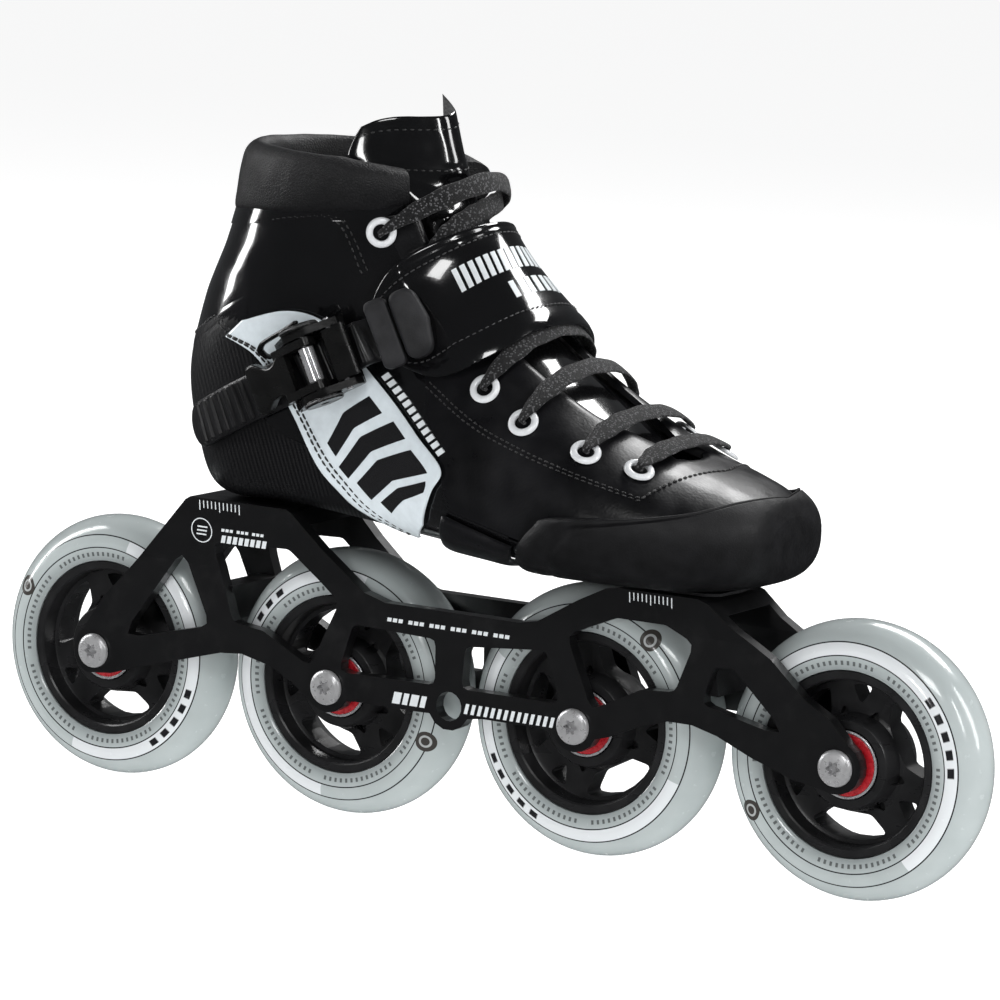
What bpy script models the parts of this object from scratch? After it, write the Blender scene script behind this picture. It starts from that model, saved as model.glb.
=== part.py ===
"""Right-foot inline speed skate: four wheels in an aluminium frame under a laced boot.

Row frame: origin on the ground under the middle of the frame, X towards the toe,
Y towards the skater's left, Z up.  Lengths below are millimetres; MM turns them
into metres.
"""
import math

import bmesh
import bpy
from mathutils import Matrix, Vector

for leftover in list(bpy.data.objects):
    bpy.data.objects.remove(leftover, do_unlink=True)

MM = 0.001
GAP = 0.35

# ---- wheels and axles ----
AXLE_SPAN = 286.0
WHEEL_RADIUS = 45.0
WHEEL_HALF_WIDTH = 12.0
AXLE_X = [AXLE_SPAN * (i / 3.0 - 0.5) for i in range(4)]
TYRE_BORE = 30.1
HUB_RADIUS = 29.7
BEARING_RADIUS = 11.0
BEARING_WIDTH = 7.0
BEARING_OUTER_FACE = 11.0
SHAFT_RADIUS = 3.9
WHEEL_TURN = [34.0, 12.0, 58.0, 27.0]

# ---- frame ----
WALL_OUTER = 17.5
WALL_INNER = 12.9
FLARE_FROM = 80.0
FLARE_SLOPE = 0.125
BOSS_RADIUS = 8.5
REAR_DECK_TOP = 103.2
FRONT_DECK_TOP = 92.4
DECK_THICKNESS = 5.0
REAR_MOUNT_X = -91.0
FRONT_MOUNT_X = 74.0

# ---- boot layers, measured outwards from the leather's outer face ----
SKIN = 3.0
STRAP_UNDER = 4.95
STRAP_THICKNESS = 1.7

# Boot stations from toe to collar.  Each is a slice through the foot:
# top x, top z, bottom x, bottom z, outer half width, inner half width,
# sideways shift, height of the widest line, roundness above, roundness below.
STATIONS = [
    (110.0, 114.0, 110.0, 107.0, 9.0, 9.0, 6.0, 0.50, 2.0, 2.0),
    (108.5, 121.0, 108.5, 101.0, 22.0, 20.0, 5.5, 0.48, 2.2, 2.6),
    (102.0, 126.0, 102.0, 98.0, 32.0, 28.0, 4.5, 0.45, 2.2, 2.8),
    (90.0, 130.5, 90.0, 97.0, 40.5, 36.5, 3.0, 0.42, 2.2, 3.2),
    (73.0, 136.5, 70.0, 97.0, 46.0, 42.0, 1.5, 0.40, 2.2, 3.4),
    (53.0, 147.5, 44.0, 97.0, 46.0, 43.5, 0.0, 0.38, 2.2, 3.4),
    (34.5, 160.0, 18.0, 98.0, 42.0, 40.0, 0.0, 0.38, 2.2, 3.2),
    (21.0, 172.0, -10.0, 99.5, 38.5, 36.0, 0.0, 0.40, 2.2, 3.0),
    (11.0, 181.5, -40.0, 102.0, 34.5, 33.5, 0.0, 0.42, 2.2, 3.0),
    (4.0, 189.5, -68.0, 104.0, 33.5, 32.5, 0.0, 0.46, 2.1, 3.0),
    (-1.0, 196.0, -97.0, 104.5, 34.0, 33.0, 0.0, 0.50, 2.1, 2.5),
    (-4.0, 201.5, -108.5, 120.0, 35.5, 34.0, 0.0, 0.52, 2.1, 2.1),
    (-6.0, 206.0, -113.0, 143.0, 37.0, 36.0, 0.0, 0.52, 2.1, 2.0),
    (-8.0, 210.5, -107.5, 168.0, 37.5, 36.5, 0.0, 0.52, 2.1, 2.0),
    (-9.5, 214.0, -98.5, 190.0, 38.0, 37.0, 0.0, 0.52, 2.1, 2.0),
    (-10.5, 216.5, -93.0, 207.0, 38.0, 37.0, 0.0, 0.52, 2.1, 2.0),
    (-11.0, 218.0, -91.0, 221.0, 37.5, 36.5, 0.0, 0.52, 2.1, 2.0),
]
LAST = len(STATIONS) - 1
SHELL_EDGE = 0.60
SHELL_TOP = 12.35

# Eyelet centres in side view (x, z); the same places are used on both sides.
EYELETS = [(18.4, 153.0), (34.6, 144.0), (57.0, 136.6), (73.1, 132.0), (-25.0, 199.5)]
EYELET_OUTER = 5.0
EYELET_INNER = 2.7

# Ratchet strap: a straight line in side view, rising towards the toe.
BUCKLE_X = -40.0
BUCKLE_Z = 156.0
STRAP_RISE = math.radians(26.5)
LADDER_HALF_WIDTH = 7.6
PIN = (1.0, 13.0)
PAWL_PIN = (10.8, 11.0)


def material(name, colour, metallic=0.0, roughness=0.5):
    mat = bpy.data.materials.new(name)
    mat.use_nodes = True
    shader = mat.node_tree.nodes["Principled BSDF"]
    shader.inputs["Base Color"].default_value = (*colour, 1.0)
    shader.inputs["Metallic"].default_value = metallic
    shader.inputs["Roughness"].default_value = roughness
    return mat


def mesh_object(name, verts, faces, mat, smooth=False):
    """One closed object from points in millimetres, with its faces turned outwards."""
    mesh = bpy.data.meshes.new(name)
    mesh.from_pydata([tuple(c * MM for c in v) for v in verts], [], faces)
    work = bmesh.new()
    work.from_mesh(mesh)
    bmesh.ops.recalc_face_normals(work, faces=work.faces)
    if work.calc_volume(signed=True) < 0:
        bmesh.ops.reverse_faces(work, faces=work.faces)
    work.to_mesh(mesh)
    work.free()
    obj = bpy.data.objects.new(name, mesh)
    bpy.context.scene.collection.objects.link(obj)
    obj.data.materials.append(mat)
    for poly in obj.data.polygons:
        poly.use_smooth = smooth
    return obj


def set_origin(obj, point):
    """Move an object's origin to a point in millimetres, leaving its mesh in place."""
    shift = Vector(point) * MM
    obj.data.transform(Matrix.Translation(-shift))
    obj.location = shift


def grid_faces(rows, cols, close_rows=False, close_cols=False, start=0):
    faces = []
    for i in range(rows if close_rows else rows - 1):
        for j in range(cols if close_cols else cols - 1):
            a = start + i * cols + j
            b = start + i * cols + (j + 1) % cols
            c = start + ((i + 1) % rows) * cols + (j + 1) % cols
            d = start + ((i + 1) % rows) * cols + j
            faces.append((a, b, c, d))
    return faces


def lathe(name, profile, centre, segments, mat, turn=0.0):
    """Ring or disc about an axle: profile is (radius, y), closed on itself."""
    verts = []
    for k in range(segments):
        angle = 2.0 * math.pi * k / segments + math.radians(turn)
        for radius, y in profile:
            verts.append((centre[0] + radius * math.cos(angle), centre[1] + y,
                          centre[2] + radius * math.sin(angle)))
    faces = grid_faces(segments, len(profile), close_rows=True, close_cols=True)
    obj = mesh_object(name, verts, faces, mat, smooth=True)
    obj.data.set_sharp_from_angle(angle=math.radians(35))
    return obj


def pin_body(name, profile, centre, segments, mat):
    """Solid turned body about an axis along Y: profile is (radius, y), end to end."""
    verts = []
    for k in range(segments):
        angle = 2.0 * math.pi * (k + 0.5) / segments
        for radius, y in profile:
            verts.append((centre[0] + radius * math.cos(angle), centre[1] + y,
                          centre[2] + radius * math.sin(angle)))
    rows = len(profile)
    faces = grid_faces(segments, rows, close_rows=True)
    faces.append([k * rows for k in range(segments)])
    faces.append([k * rows + rows - 1 for k in range(segments)])
    obj = mesh_object(name, verts, faces, mat, smooth=True)
    obj.data.set_sharp_from_angle(angle=math.radians(35))
    return obj


def prism(name, outline, low, high, mat):
    """Side-view outline (x, z) carried straight across from y = low to y = high."""
    count = len(outline)
    verts = [(x, low, z) for x, z in outline] + [(x, high, z) for x, z in outline]
    faces = [list(range(count)), list(range(2 * count - 1, count - 1, -1))]
    for i in range(count):
        j = (i + 1) % count
        faces.append((i, j, count + j, count + i))
    return mesh_object(name, verts, faces, mat)


def arc(cx, cz, radius, start, stop, steps):
    """Points on a circular arc in side view, angles in degrees."""
    points = []
    for k in range(steps + 1):
        a = math.radians(start + (stop - start) * k / steps)
        points.append((cx + radius * math.cos(a), cz + radius * math.sin(a)))
    return points


def rounded(corners, radius, steps=2):
    """Round every corner of a side-view polygon."""
    out = []
    count = len(corners)
    for i in range(count):
        before = Vector(corners[i - 1])
        here = Vector(corners[i])
        after = Vector(corners[(i + 1) % count])
        into = (before - here).normalized()
        away = (after - here).normalized()
        half = into.angle(away) / 2.0
        reach = min(radius / math.tan(half), 0.45 * (before - here).length,
                    0.45 * (after - here).length)
        first = here + into * reach
        last = here + away * reach
        for k in range(steps + 1):
            t = k / steps
            out.append(tuple(first * (1 - t) ** 2 + here * 2 * t * (1 - t) + last * t ** 2))
    return out


def combine(target, others, operation):
    """Exact Boolean of a target with other bodies, which are then removed."""
    for other in others:
        other.hide_render = True
        other.display_type = "WIRE"
        mod = target.modifiers.new("cut", "BOOLEAN")
        mod.operation = operation
        mod.solver = "EXACT"
        mod.object = other
    graph = bpy.context.evaluated_depsgraph_get()
    done = bpy.data.meshes.new_from_object(target.evaluated_get(graph))
    target.modifiers.clear()
    target.data = done
    for other in others:
        bpy.data.objects.remove(other, do_unlink=True)
    return target


# ---------------------------------------------------------------- frame

def frame_outline():
    """Outer edge of the frame walls in side view."""
    end = AXLE_SPAN / 2.0
    mid = end / 3.0
    top = [(-130.5, 73.9), (-105.2, 102.0), (-103.2, REAR_DECK_TOP), (-64.6, REAR_DECK_TOP),
           (-62.6, 102.2), (-50.9, 91.4), (-40.9, 83.5), (-34.5, 78.6), (-26.0, 76.2),
           (25.0, 76.2), (32.5, 77.6), (47.9, 86.6), (58.0, 91.6), (62.5, FRONT_DECK_TOP),
           (92.0, FRONT_DECK_TOP), (95.5, 91.2), (104.6, 83.9), (118.1, 76.2), (130.4, 65.3),
           (140.0, 60.0)]
    front_end = arc(end, 45.0, BOSS_RADIUS, 62, -95, 8)
    front_under = [(134.8, 38.0), (127.4, 39.2), (112.6, 44.0), (100.2, 49.1), (91.0, 51.4),
                   (82.0, 51.4), (71.3, 48.0), (60.5, 43.2)]
    boss_front = arc(mid, 45.0, BOSS_RADIUS, -22, -158, 6)
    middle = [(39.1 - 3.0, 42.6), (13.0, 42.6)]
    centre_boss = arc(0.0, 45.0, 8.0, -24, -156, 5)
    rear_middle = [(-13.0, 41.6), (-36.0, 41.6)]
    boss_rear = arc(-mid, 45.0, BOSS_RADIUS, -26, -130, 5)
    rear_under = [(-61.8, 44.8), (-71.0, 49.2), (-82.3, 51.7), (-91.1, 50.9), (-103.0, 47.6),
                  (-124.4, 41.6), (-135.9, 38.0)]
    rear_end = arc(-end, 45.0, BOSS_RADIUS, -110, -232, 7)
    chain = top + front_end + front_under + boss_front + middle + centre_boss
    return chain + rear_middle + boss_rear + rear_under + rear_end + [(-140.0, 64.0)]


def frame_windows():
    """Weight-saving windows, from the rear to the front."""
    return [
        rounded([(-107.4, 84.5), (-95.6, 59.6), (-132.6, 50.4)], 3.0),
        rounded([(-95.2, 88.5), (-64.0, 89.6), (-44.0, 74.0), (-54.8, 51.0), (-74.0, 60.6),
                 (-86.2, 62.0)], 3.2),
        rounded([(-38.2, 67.4), (-6.0, 66.6), (-5.6, 51.4), (-43.4, 50.8)], 2.4),
        rounded([(5.5, 65.6), (36.0, 68.4), (42.2, 51.6), (4.6, 51.4)], 2.4),
        rounded([(43.6, 74.6), (62.0, 82.4), (80.0, 82.4), (90.4, 77.6), (84.2, 61.2),
                 (72.0, 60.4), (53.8, 51.2)], 3.2),
        rounded([(98.0, 71.0), (105.0, 71.4), (126.6, 51.4), (94.0, 58.6)], 2.6),
    ]


def build_frame(mat):
    body = prism("frame", frame_outline(), -WALL_OUTER, WALL_OUTER, mat)
    tool = material("tool", (0.5, 0.5, 0.5))
    deck_low = REAR_DECK_TOP - DECK_THICKNESS
    front_low = FRONT_DECK_TOP - DECK_THICKNESS
    channel = [(-170, 30), (170, 30), (170, 110), (100, 110), (100, front_low),
               (65, front_low), (65, 110), (-57, 110), (-57, deck_low), (-108, deck_low),
               (-108, 110), (-170, 110)]
    cutters = [prism("channel", channel, -WALL_INNER, WALL_INNER, tool)]
    for i, window in enumerate(frame_windows()):
        cutters.append(prism("window_%d" % i, window, -30, 30, tool))
    cutters.append(pin_body("middle_hole", [(4.9, -30), (4.9, 30)], (0, 0, 45), 16, tool))
    for x, top in ((REAR_MOUNT_X, REAR_DECK_TOP), (FRONT_MOUNT_X, FRONT_DECK_TOP)):
        slot = [(x - 6.5, -3.4), (x + 6.5, -3.4), (x + 6.5, 3.4), (x - 6.5, 3.4)]
        verts = [(px, py, top - 12) for px, py in slot] + [(px, py, top + 5) for px, py in slot]
        faces = [(3, 2, 1, 0), (4, 5, 6, 7), (0, 1, 5, 4), (1, 2, 6, 5), (2, 3, 7, 6), (3, 0, 4, 7)]
        cutters.append(mesh_object("slot", verts, faces, tool))
    combine(body, cutters, "DIFFERENCE")
    added = []
    for end in (-1, 1):
        web = [(end * 98.4, 61.0), (end * 91.8, 61.0), (end * 88.8, 73.5), (end * 97.0, 73.5)]
        added.append(prism("web", web, -WALL_INNER - 1.5, WALL_INNER + 1.5, tool))
    for x in AXLE_X:
        for side in (-1, 1):
            ends = sorted((side * 11.4, side * (WALL_INNER + 1.5)))
            added.append(pin_body("boss", [(6.6, ends[0]), (6.6, ends[1])], (x, 0, 45), 16, tool))
    combine(body, added, "UNION")
    holes = []
    for x in AXLE_X:
        holes.append(pin_body("hole", [(4.4, -30), (4.4, 30)], (x, 0, 45), 16, tool))
    combine(body, holes, "DIFFERENCE")
    flare_walls(body)
    body.data.materials.clear()
    body.data.materials.append(mat)
    return body


def flare_walls(body):
    """Widen the walls above the flare line so that the decks are broader."""
    work = bmesh.new()
    work.from_mesh(body.data)
    line = Vector((0, 0, FLARE_FROM * MM))
    geometry = work.verts[:] + work.edges[:] + work.faces[:]
    bmesh.ops.bisect_plane(work, geom=geometry, plane_co=line, plane_no=(0, 0, 1))
    for vert in work.verts:
        if vert.co.z > FLARE_FROM * MM and abs(vert.co.y) > 8 * MM:
            grow = (vert.co.z - FLARE_FROM * MM) * FLARE_SLOPE
            vert.co.y += math.copysign(grow, vert.co.y)
    bmesh.ops.remove_doubles(work, verts=work.verts, dist=0.00002)
    bmesh.ops.dissolve_degenerate(work, dist=0.00002, edges=work.edges)
    bmesh.ops.triangulate(work, faces=work.faces)
    bmesh.ops.recalc_face_normals(work, faces=work.faces)
    work.to_mesh(body.data)
    work.free()


def build_mount_bolt(name, x, deck_top, mat):
    """Countersunk-style cap screw held up into the sole from inside the frame."""
    under = deck_top - DECK_THICKNESS
    profile = [(3.9, under - 2.3), (4.4, under - 1.8), (4.4, under - GAP), (2.9, under - GAP),
               (2.9, deck_top + 0.2)]
    verts = []
    segments = 12
    for k in range(segments):
        angle = 2.0 * math.pi * k / segments
        for radius, z in profile:
            verts.append((x + radius * math.cos(angle), radius * math.sin(angle), z))
    rows = len(profile)
    faces = grid_faces(segments, rows, close_rows=True)
    faces.append([k * rows for k in range(segments)])
    faces.append([k * rows + rows - 1 for k in range(segments)])
    return mesh_object(name, verts, faces, mat)


def build_mount_plate(name, x0, x1, half, low, high, mat):
    """Thin levelling plate between a deck and the sole, with a hole for the bolt."""
    x = FRONT_MOUNT_X
    ring = 12
    outer = []
    for k in range(ring):
        a = 2.0 * math.pi * k / ring
        px = (x1 + x0) / 2 + (x1 - x0) / 2 * math.copysign(abs(math.cos(a)) ** 0.45, math.cos(a))
        py = half * math.copysign(abs(math.sin(a)) ** 0.45, math.sin(a))
        outer.append((px, py))
    inner = [(x + 3.3 * math.cos(2.0 * math.pi * k / ring),
              3.3 * math.sin(2.0 * math.pi * k / ring)) for k in range(ring)]
    verts = []
    for k in range(ring):
        for (px, py), z in ((outer[k], low), (outer[k], high), (inner[k], high), (inner[k], low)):
            verts.append((px, py, z))
    return mesh_object(name, verts, grid_faces(ring, 4, True, True), mat)


# ---------------------------------------------------------------- wheels

def build_tyre(name, x, mat):
    half = WHEEL_HALF_WIDTH
    profile = [(TYRE_BORE, -half + 1.4)]
    for k in range(7):
        t = math.radians(-78 + 26 * k)
        radius = 33.0 + 12.0 * math.cos(t) ** 0.9
        profile.append((radius, half * math.sin(t)))
    profile.append((TYRE_BORE, half - 1.4))
    return lathe(name, profile, (x, 0, 45), 28, mat)


def build_hub(name, x, turn, mat):
    """Rim, spokes and bearing seats: three broad windows and three narrow ones."""
    web = 4.2
    seat = BEARING_RADIUS + GAP
    profile = [(HUB_RADIUS, -10.4), (HUB_RADIUS, 10.4), (26.8, 10.4), (25.6, web), (16.2, web),
               (14.2, 10.6), (seat, 10.6), (seat, 3.6), (9.0, 3.6), (9.0, -3.6), (seat, -3.6),
               (seat, -10.6), (14.2, -10.6), (16.2, -web), (25.6, -web), (26.8, -10.4)]
    hub = lathe(name, profile, (x, 0, 45), 20, mat)
    tool = material("tool", (0.5, 0.5, 0.5))
    cutters = []
    for k in range(3):
        middle = turn + 120 * k
        wide = arc(x, 45, 24.4, middle - 33, middle + 33, 3)
        wide += arc(x, 45, 17.2, middle + 20, middle - 20, 1)
        narrow = arc(x, 45, 24.4, middle + 54, middle + 66, 1) + [polar(x, middle + 60, 17.8)]
        cutters.append(prism("wide", wide, -8, 8, tool))
        cutters.append(prism("narrow", narrow, -8, 8, tool))
    combine(hub, cutters, "DIFFERENCE")
    hub.data.materials.clear()
    hub.data.materials.append(mat)
    return hub


def polar(x, degrees, radius):
    a = math.radians(degrees)
    return (x + radius * math.cos(a), 45 + radius * math.sin(a))


def build_bearing(name, x, side, mat):
    inner = side * (BEARING_OUTER_FACE - BEARING_WIDTH)
    outer = side * BEARING_OUTER_FACE
    low, high = sorted((inner, outer))
    profile = [(BEARING_RADIUS, low), (BEARING_RADIUS, high), (4.4, high), (4.4, low)]
    return lathe(name, profile, (x, 0, 45), 16, mat)


def build_axle(name, x, mat):
    """Axle bolt: domed head on the outer side, plain shaft, nut face on the inner side."""
    head = WALL_OUTER + GAP
    profile = [(4.6, -head - 2.0), (5.9, -head - 1.1), (5.9, -head), (SHAFT_RADIUS, -head),
               (SHAFT_RADIUS, head), (5.9, head), (5.9, head + 1.1), (4.6, head + 2.0)]
    return pin_body(name, profile, (x, 0, 45), 14, mat)


# ---------------------------------------------------------------- boot surface

def blend_stations(u):
    """Smoothly interpolated station values at a place between toe (0) and collar (LAST)."""
    u = min(max(u, 0.0), float(LAST))
    i = min(int(u), LAST - 1)
    f = u - i
    a = STATIONS[max(i - 1, 0)]
    b = STATIONS[i]
    c = STATIONS[i + 1]
    d = STATIONS[min(i + 2, LAST)]
    out = []
    for p0, p1, p2, p3 in zip(a, b, c, d):
        cubic = 2 * p1 + (p2 - p0) * f + (2 * p0 - 5 * p1 + 4 * p2 - p3) * f * f
        out.append(0.5 * (cubic + (3 * p1 - p0 - 3 * p2 + p3) * f ** 3))
    return out


def skin(u, v, out=0.0):
    """Boot surface.  u runs toe to collar, v is 0 on the instep, negative on the outer
    side and +-1 under the foot or behind the heel; out is a distance from the leather."""
    tx, tz, bx, bz, w_out, w_in, shift, widest, above, below = blend_stations(u)
    top = Vector((tx, tz))
    low = Vector((bx, bz))
    along = (top - low).normalized()
    top = top + along * out
    low = low - along * out
    turn = v * math.pi
    cos = math.cos(turn)
    power = 2.0 / (above if cos >= 0 else below)
    side = math.copysign(abs(math.sin(turn)) ** power, turn)
    width = (w_out if v < 0 else w_in) + out
    if cos >= 0:
        height = widest + (1 - widest) * abs(cos) ** power
    else:
        height = widest - widest * abs(cos) ** power
    x, z = low + (top - low) * height
    x += out * max(0.0, 1.0 - u / 2.0)
    return Vector((x, shift + width * side, z))


def slice_line(u, out=0.0):
    """A slice's values with its top and bottom moved outwards by a distance."""
    s = blend_stations(u)
    top = Vector((s[0], s[1]))
    low = Vector((s[2], s[3]))
    along = (top - low).normalized()
    return top + along * out, low - along * out, s


def side_place(x, z, out=0.0):
    """The (u, |v|) whose side view is the given x and z, on the layer at that distance."""
    def miss(u):
        top, low, _ = slice_line(u, out)
        return (top.x - low.x) * (z - low.y) - (top.y - low.y) * (x - low.x)
    steps = [0.6 + (LAST - 0.6) * k / 96.0 for k in range(97)]
    first = last = steps[0]
    for a, b in zip(steps, steps[1:]):
        if miss(a) * miss(b) <= 0:
            first, last = a, b
            break
    for _ in range(30):
        mid = (first + last) / 2
        if miss(first) * miss(mid) <= 0:
            last = mid
        else:
            first = mid
    top, low, s = slice_line(first, out)
    run = top - low
    height = run.dot(Vector((x, z)) - low) / run.length_squared
    height = min(max(height, 0.0), 1.0)
    if height >= s[7]:
        cos = ((height - s[7]) / (1 - s[7])) ** (s[8] / 2.0)
    else:
        cos = -((s[7] - height) / s[7]) ** (s[9] / 2.0)
    return first, math.acos(min(max(cos, -1.0), 1.0)) / math.pi


def on_side(x, z, side, out=0.0):
    """Point on the boot's side seen at x, z; side is -1 outer or +1 inner."""
    u, v = side_place(x, z)
    return skin(u, side * v, out)


def facing(u, v):
    """Outward direction of the boot surface."""
    e = 0.02
    du = skin(min(u + e, LAST), v) - skin(max(u - e, 0), v)
    dv = skin(u, v + e) - skin(u, v - e)
    n = du.cross(dv).normalized()
    middle = blend_stations(u)
    core = Vector(((middle[0] + middle[2]) / 2, 0, (middle[1] + middle[3]) / 2))
    return n if n.dot(skin(u, v) - core) > 0 else -n


def layer(name, places, inner, outer, mat, closed=False, smooth=True):
    """Closed body between two distances from the leather over a grid of (u, v) places."""
    rows = len(places)
    cols = len(places[0])
    verts = []
    for out in (outer, inner):
        for row in places:
            for u, v in row:
                verts.append(skin(u, v, out(u, v) if callable(out) else out))
    half = rows * cols
    faces = grid_faces(rows, cols, close_rows=closed)
    faces += [tuple(half + i for i in reversed(f)) for f in faces]
    for i in range(rows if closed else rows - 1):
        a = i * cols
        b = ((i + 1) % rows) * cols
        faces.append((a, b, half + b, half + a))
        faces.append((b + cols - 1, a + cols - 1, half + a + cols - 1, half + b + cols - 1))
    if not closed:
        for j in range(cols - 1):
            faces.append((j + 1, j, half + j, half + j + 1))
            end = (rows - 1) * cols
            faces.append((end + j, end + j + 1, half + end + j + 1, half + end + j))
    obj = mesh_object(name, verts, faces, mat, smooth=smooth)
    obj.data.set_sharp_from_angle(angle=math.radians(50))
    return obj


def spread(a, b, count):
    return [a + (b - a) * k / (count - 1) for k in range(count)]


def between(points, t):
    """Point at fraction t along a polyline given by its corners, even per corner."""
    place = t * (len(points) - 1)
    i = min(int(place), len(points) - 2)
    f = place - i
    return tuple(p + (q - p) * f for p, q in zip(points[i], points[i + 1]))


def build_shell(mat):
    """Lasted shell: heel counter, sole and the sides of the forefoot in one piece."""
    ups = spread(0.3, 9.5, 15) + spread(10.1, SHELL_TOP, 6)
    rounds = spread(SHELL_EDGE, 2.0 - SHELL_EDGE, 15)
    places = [[(u, v if v <= 1.0 else v - 2.0) for v in rounds] for u in ups]
    return layer("boot_shell", places, -SKIN, 0.0, mat)


def throat_edge(u):
    """Half width of the laced throat, as a share of half a turn round the foot."""
    return between([(0.0,), (0.11,), (0.155,), (0.175,), (0.18,), (0.18,), (0.185,), (0.20,)],
                   min(max((u - 3.7) / 10.3, 0.0), 1.0))[0]


def collar_line(v):
    """Level seam between upper and collar: its u at a share of half a turn from the front."""
    table = [(0.2, 13.35), (0.3, 13.5), (0.4, 13.9), (0.5, 14.17), (0.64, 14.44), (0.75, 14.57),
             (1.0, 14.6)]
    v = min(max(abs(v), 0.2), 1.0)
    for (v0, u0), (v1, u1) in zip(table, table[1:]):
        if v <= v1:
            return u0 + (u1 - u0) * (v - v0) / (v1 - v0)
    return table[-1][1]


def build_upper(mat):
    """Leather upper: vamp, eyestays and quarters as one sheet round the throat."""
    edge = SHELL_EDGE - 0.012
    low = [(0.3, 0.0), (0.3, 0.2), (0.3, 0.4), (0.3, edge)]
    low += [(u, edge) for u in spread(1.2, SHELL_TOP + 0.12, 15)]
    low += [(SHELL_TOP + 0.12, v) for v in spread(0.65, 1.0, 6)]
    high = [(3.7, 0.0), (3.75, 0.03), (3.9, 0.06)]
    high += [(u, throat_edge(u)) for u in spread(4.2, 13.1, 11)]
    high += [(collar_line(v) - 0.25 + 0.15 * v, v) for v in spread(0.27, 1.0, 11)]
    half = []
    for (u0, v0), (u1, v1) in zip(low, high):
        half.append([(u0 + (u1 - u0) * t, v0 + (v1 - v0) * t) for t in (0, .25, .5, .75, 1)])
    other = [[(u, -v) for u, v in row] for row in reversed(half[1:-1])]
    return layer("leather_upper", half + other, -SKIN, 0.0, mat, closed=True)


def build_collar(mat):
    """Padded roll round the top of the boot, open at the front for the tongue."""
    ring = [(14.1, 0.2), (14.7, 1.7), (15.5, 1.6), (16.0, 0.2), (16.0, -3.5), (16.0, -7.5),
            (15.4, -9.0), (14.4, -8.6), (13.5, -7.6), (13.2, -5.8), (13.4, -SKIN - 1.8),
            (14.1, -SKIN - 1.8)]
    lift = [0, 0, 0, 1.4, 4.2, 2.4, 0, 0, 0, 0, 0, 0]
    arounds = spread(0.215, 1.785, 25)
    verts = []
    for k, v in enumerate(arounds):
        v = v if v <= 1.0 else v - 2.0
        taper = min(1.0, 0.35 + 0.65 * min(k, len(arounds) - 1 - k) / 3.0)
        reach = (LAST - collar_line(v)) / (LAST - ring[0][0])
        for (u, out), up in zip(ring, lift):
            point = skin(LAST - (LAST - u) * reach, v, out)
            point.z += up * taper
            verts.append(point)
    rows = len(arounds)
    cols = len(ring)
    faces = grid_faces(rows, cols, close_cols=True)
    faces.append(list(range(cols)))
    faces.append([(rows - 1) * cols + j for j in reversed(range(cols))])
    return mesh_object("collar_padding", verts, faces, mat, smooth=True)


def build_tongue(mat):
    """Padded tongue under the laces, rising out of the collar into a flared tab."""
    rows = []
    for u in spread(4.4, 12.6, 11):
        share = min(1.0, (u - 3.2) / 4.0)
        reach = 0.10 + 0.15 * share
        dive = 7.2 * min(max((u - 9.0) / 2.4, 0.0), 1.0)
        ring = []
        for v in spread(-reach, reach, 9):
            out = -SKIN - 0.9 - dive * min(max((abs(v) - 0.13) / 0.08, 0.0), 1.0)
            ring.append((skin(u, v, out), skin(u, v, out - 3.6)))
        rows.append(ring)
    for k in range(1, 6):
        t = 0.12 + 0.88 * k / 5.0
        ring = []
        for v in spread(-1, 1, 9):
            outer_end = -84.0 + 24.0 * t * t
            degrees = -20.0 + v * (58.0 if v > 0 else -20.0 - outer_end)
            angle = math.radians(degrees)
            bulge = 7.0 * math.exp(-((degrees - 5.0) / 28.0) ** 2)
            x = -46.5 - 9.0 * t + (30.0 + bulge) * math.cos(angle)
            y = 23.0 * math.sin(angle)
            z = 209.0 + 27.0 * t + 6.0 * t * max(0.0, v) ** 2 - 4.0 * t * max(0.0, -v) ** 3
            normal = Vector((math.cos(angle), math.sin(angle), 0))
            thick = 4.0 if k < 3 else 4.0 - 1.1 * (k - 2)
            point = Vector((x, y, z))
            ring.append((point, point - normal * thick))
        rows.append(ring)
    cols = 9
    verts = [p[0] for row in rows for p in row] + [p[1] for row in rows for p in row]
    half = len(rows) * cols
    faces = grid_faces(len(rows), cols)
    faces += [tuple(half + i for i in reversed(f)) for f in faces]
    for i in range(len(rows) - 1):
        a = i * cols
        b = a + cols
        faces.append((a, b, half + b, half + a))
        faces.append((b + cols - 1, a + cols - 1, half + a + cols - 1, half + b + cols - 1))
    for j in range(cols - 1):
        end = (len(rows) - 1) * cols
        faces.append((j + 1, j, half + j, half + j + 1))
        faces.append((end + j, end + j + 1, half + end + j + 1, half + end + j))
    return mesh_object("tongue", verts, faces, mat, smooth=True)


def build_footbed(mat):
    """Insole with a flat heel seat, dropping to the ball of the foot."""
    stops = [(-94, 111), (-82, 111), (-62, 111), (-40, 111), (-18, 110), (10, 105.5),
             (34, 103.6), (58, 103.2), (78, 103.2), (92, 103.6)]
    thick = 3.0
    verts = []
    for x, top in stops:
        for side in (-1, 1):
            for z in (top, top - thick):
                inset = -SKIN - 1.2
                u, v = side_place(x, z, inset)
                verts.append((x, skin(u, side * v, inset).y, z))
    faces = []
    for i in range(len(stops) - 1):
        a = 4 * i
        b = a + 4
        faces += [(a, a + 2, b + 2, b), (a + 1, b + 1, b + 3, a + 3),
                  (a, b, b + 1, a + 1), (a + 2, a + 3, b + 3, b + 2)]
    end = 4 * (len(stops) - 1)
    faces += [(0, 1, 3, 2), (end, end + 2, end + 3, end + 1)]
    return mesh_object("footbed", verts, faces, mat)


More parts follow.
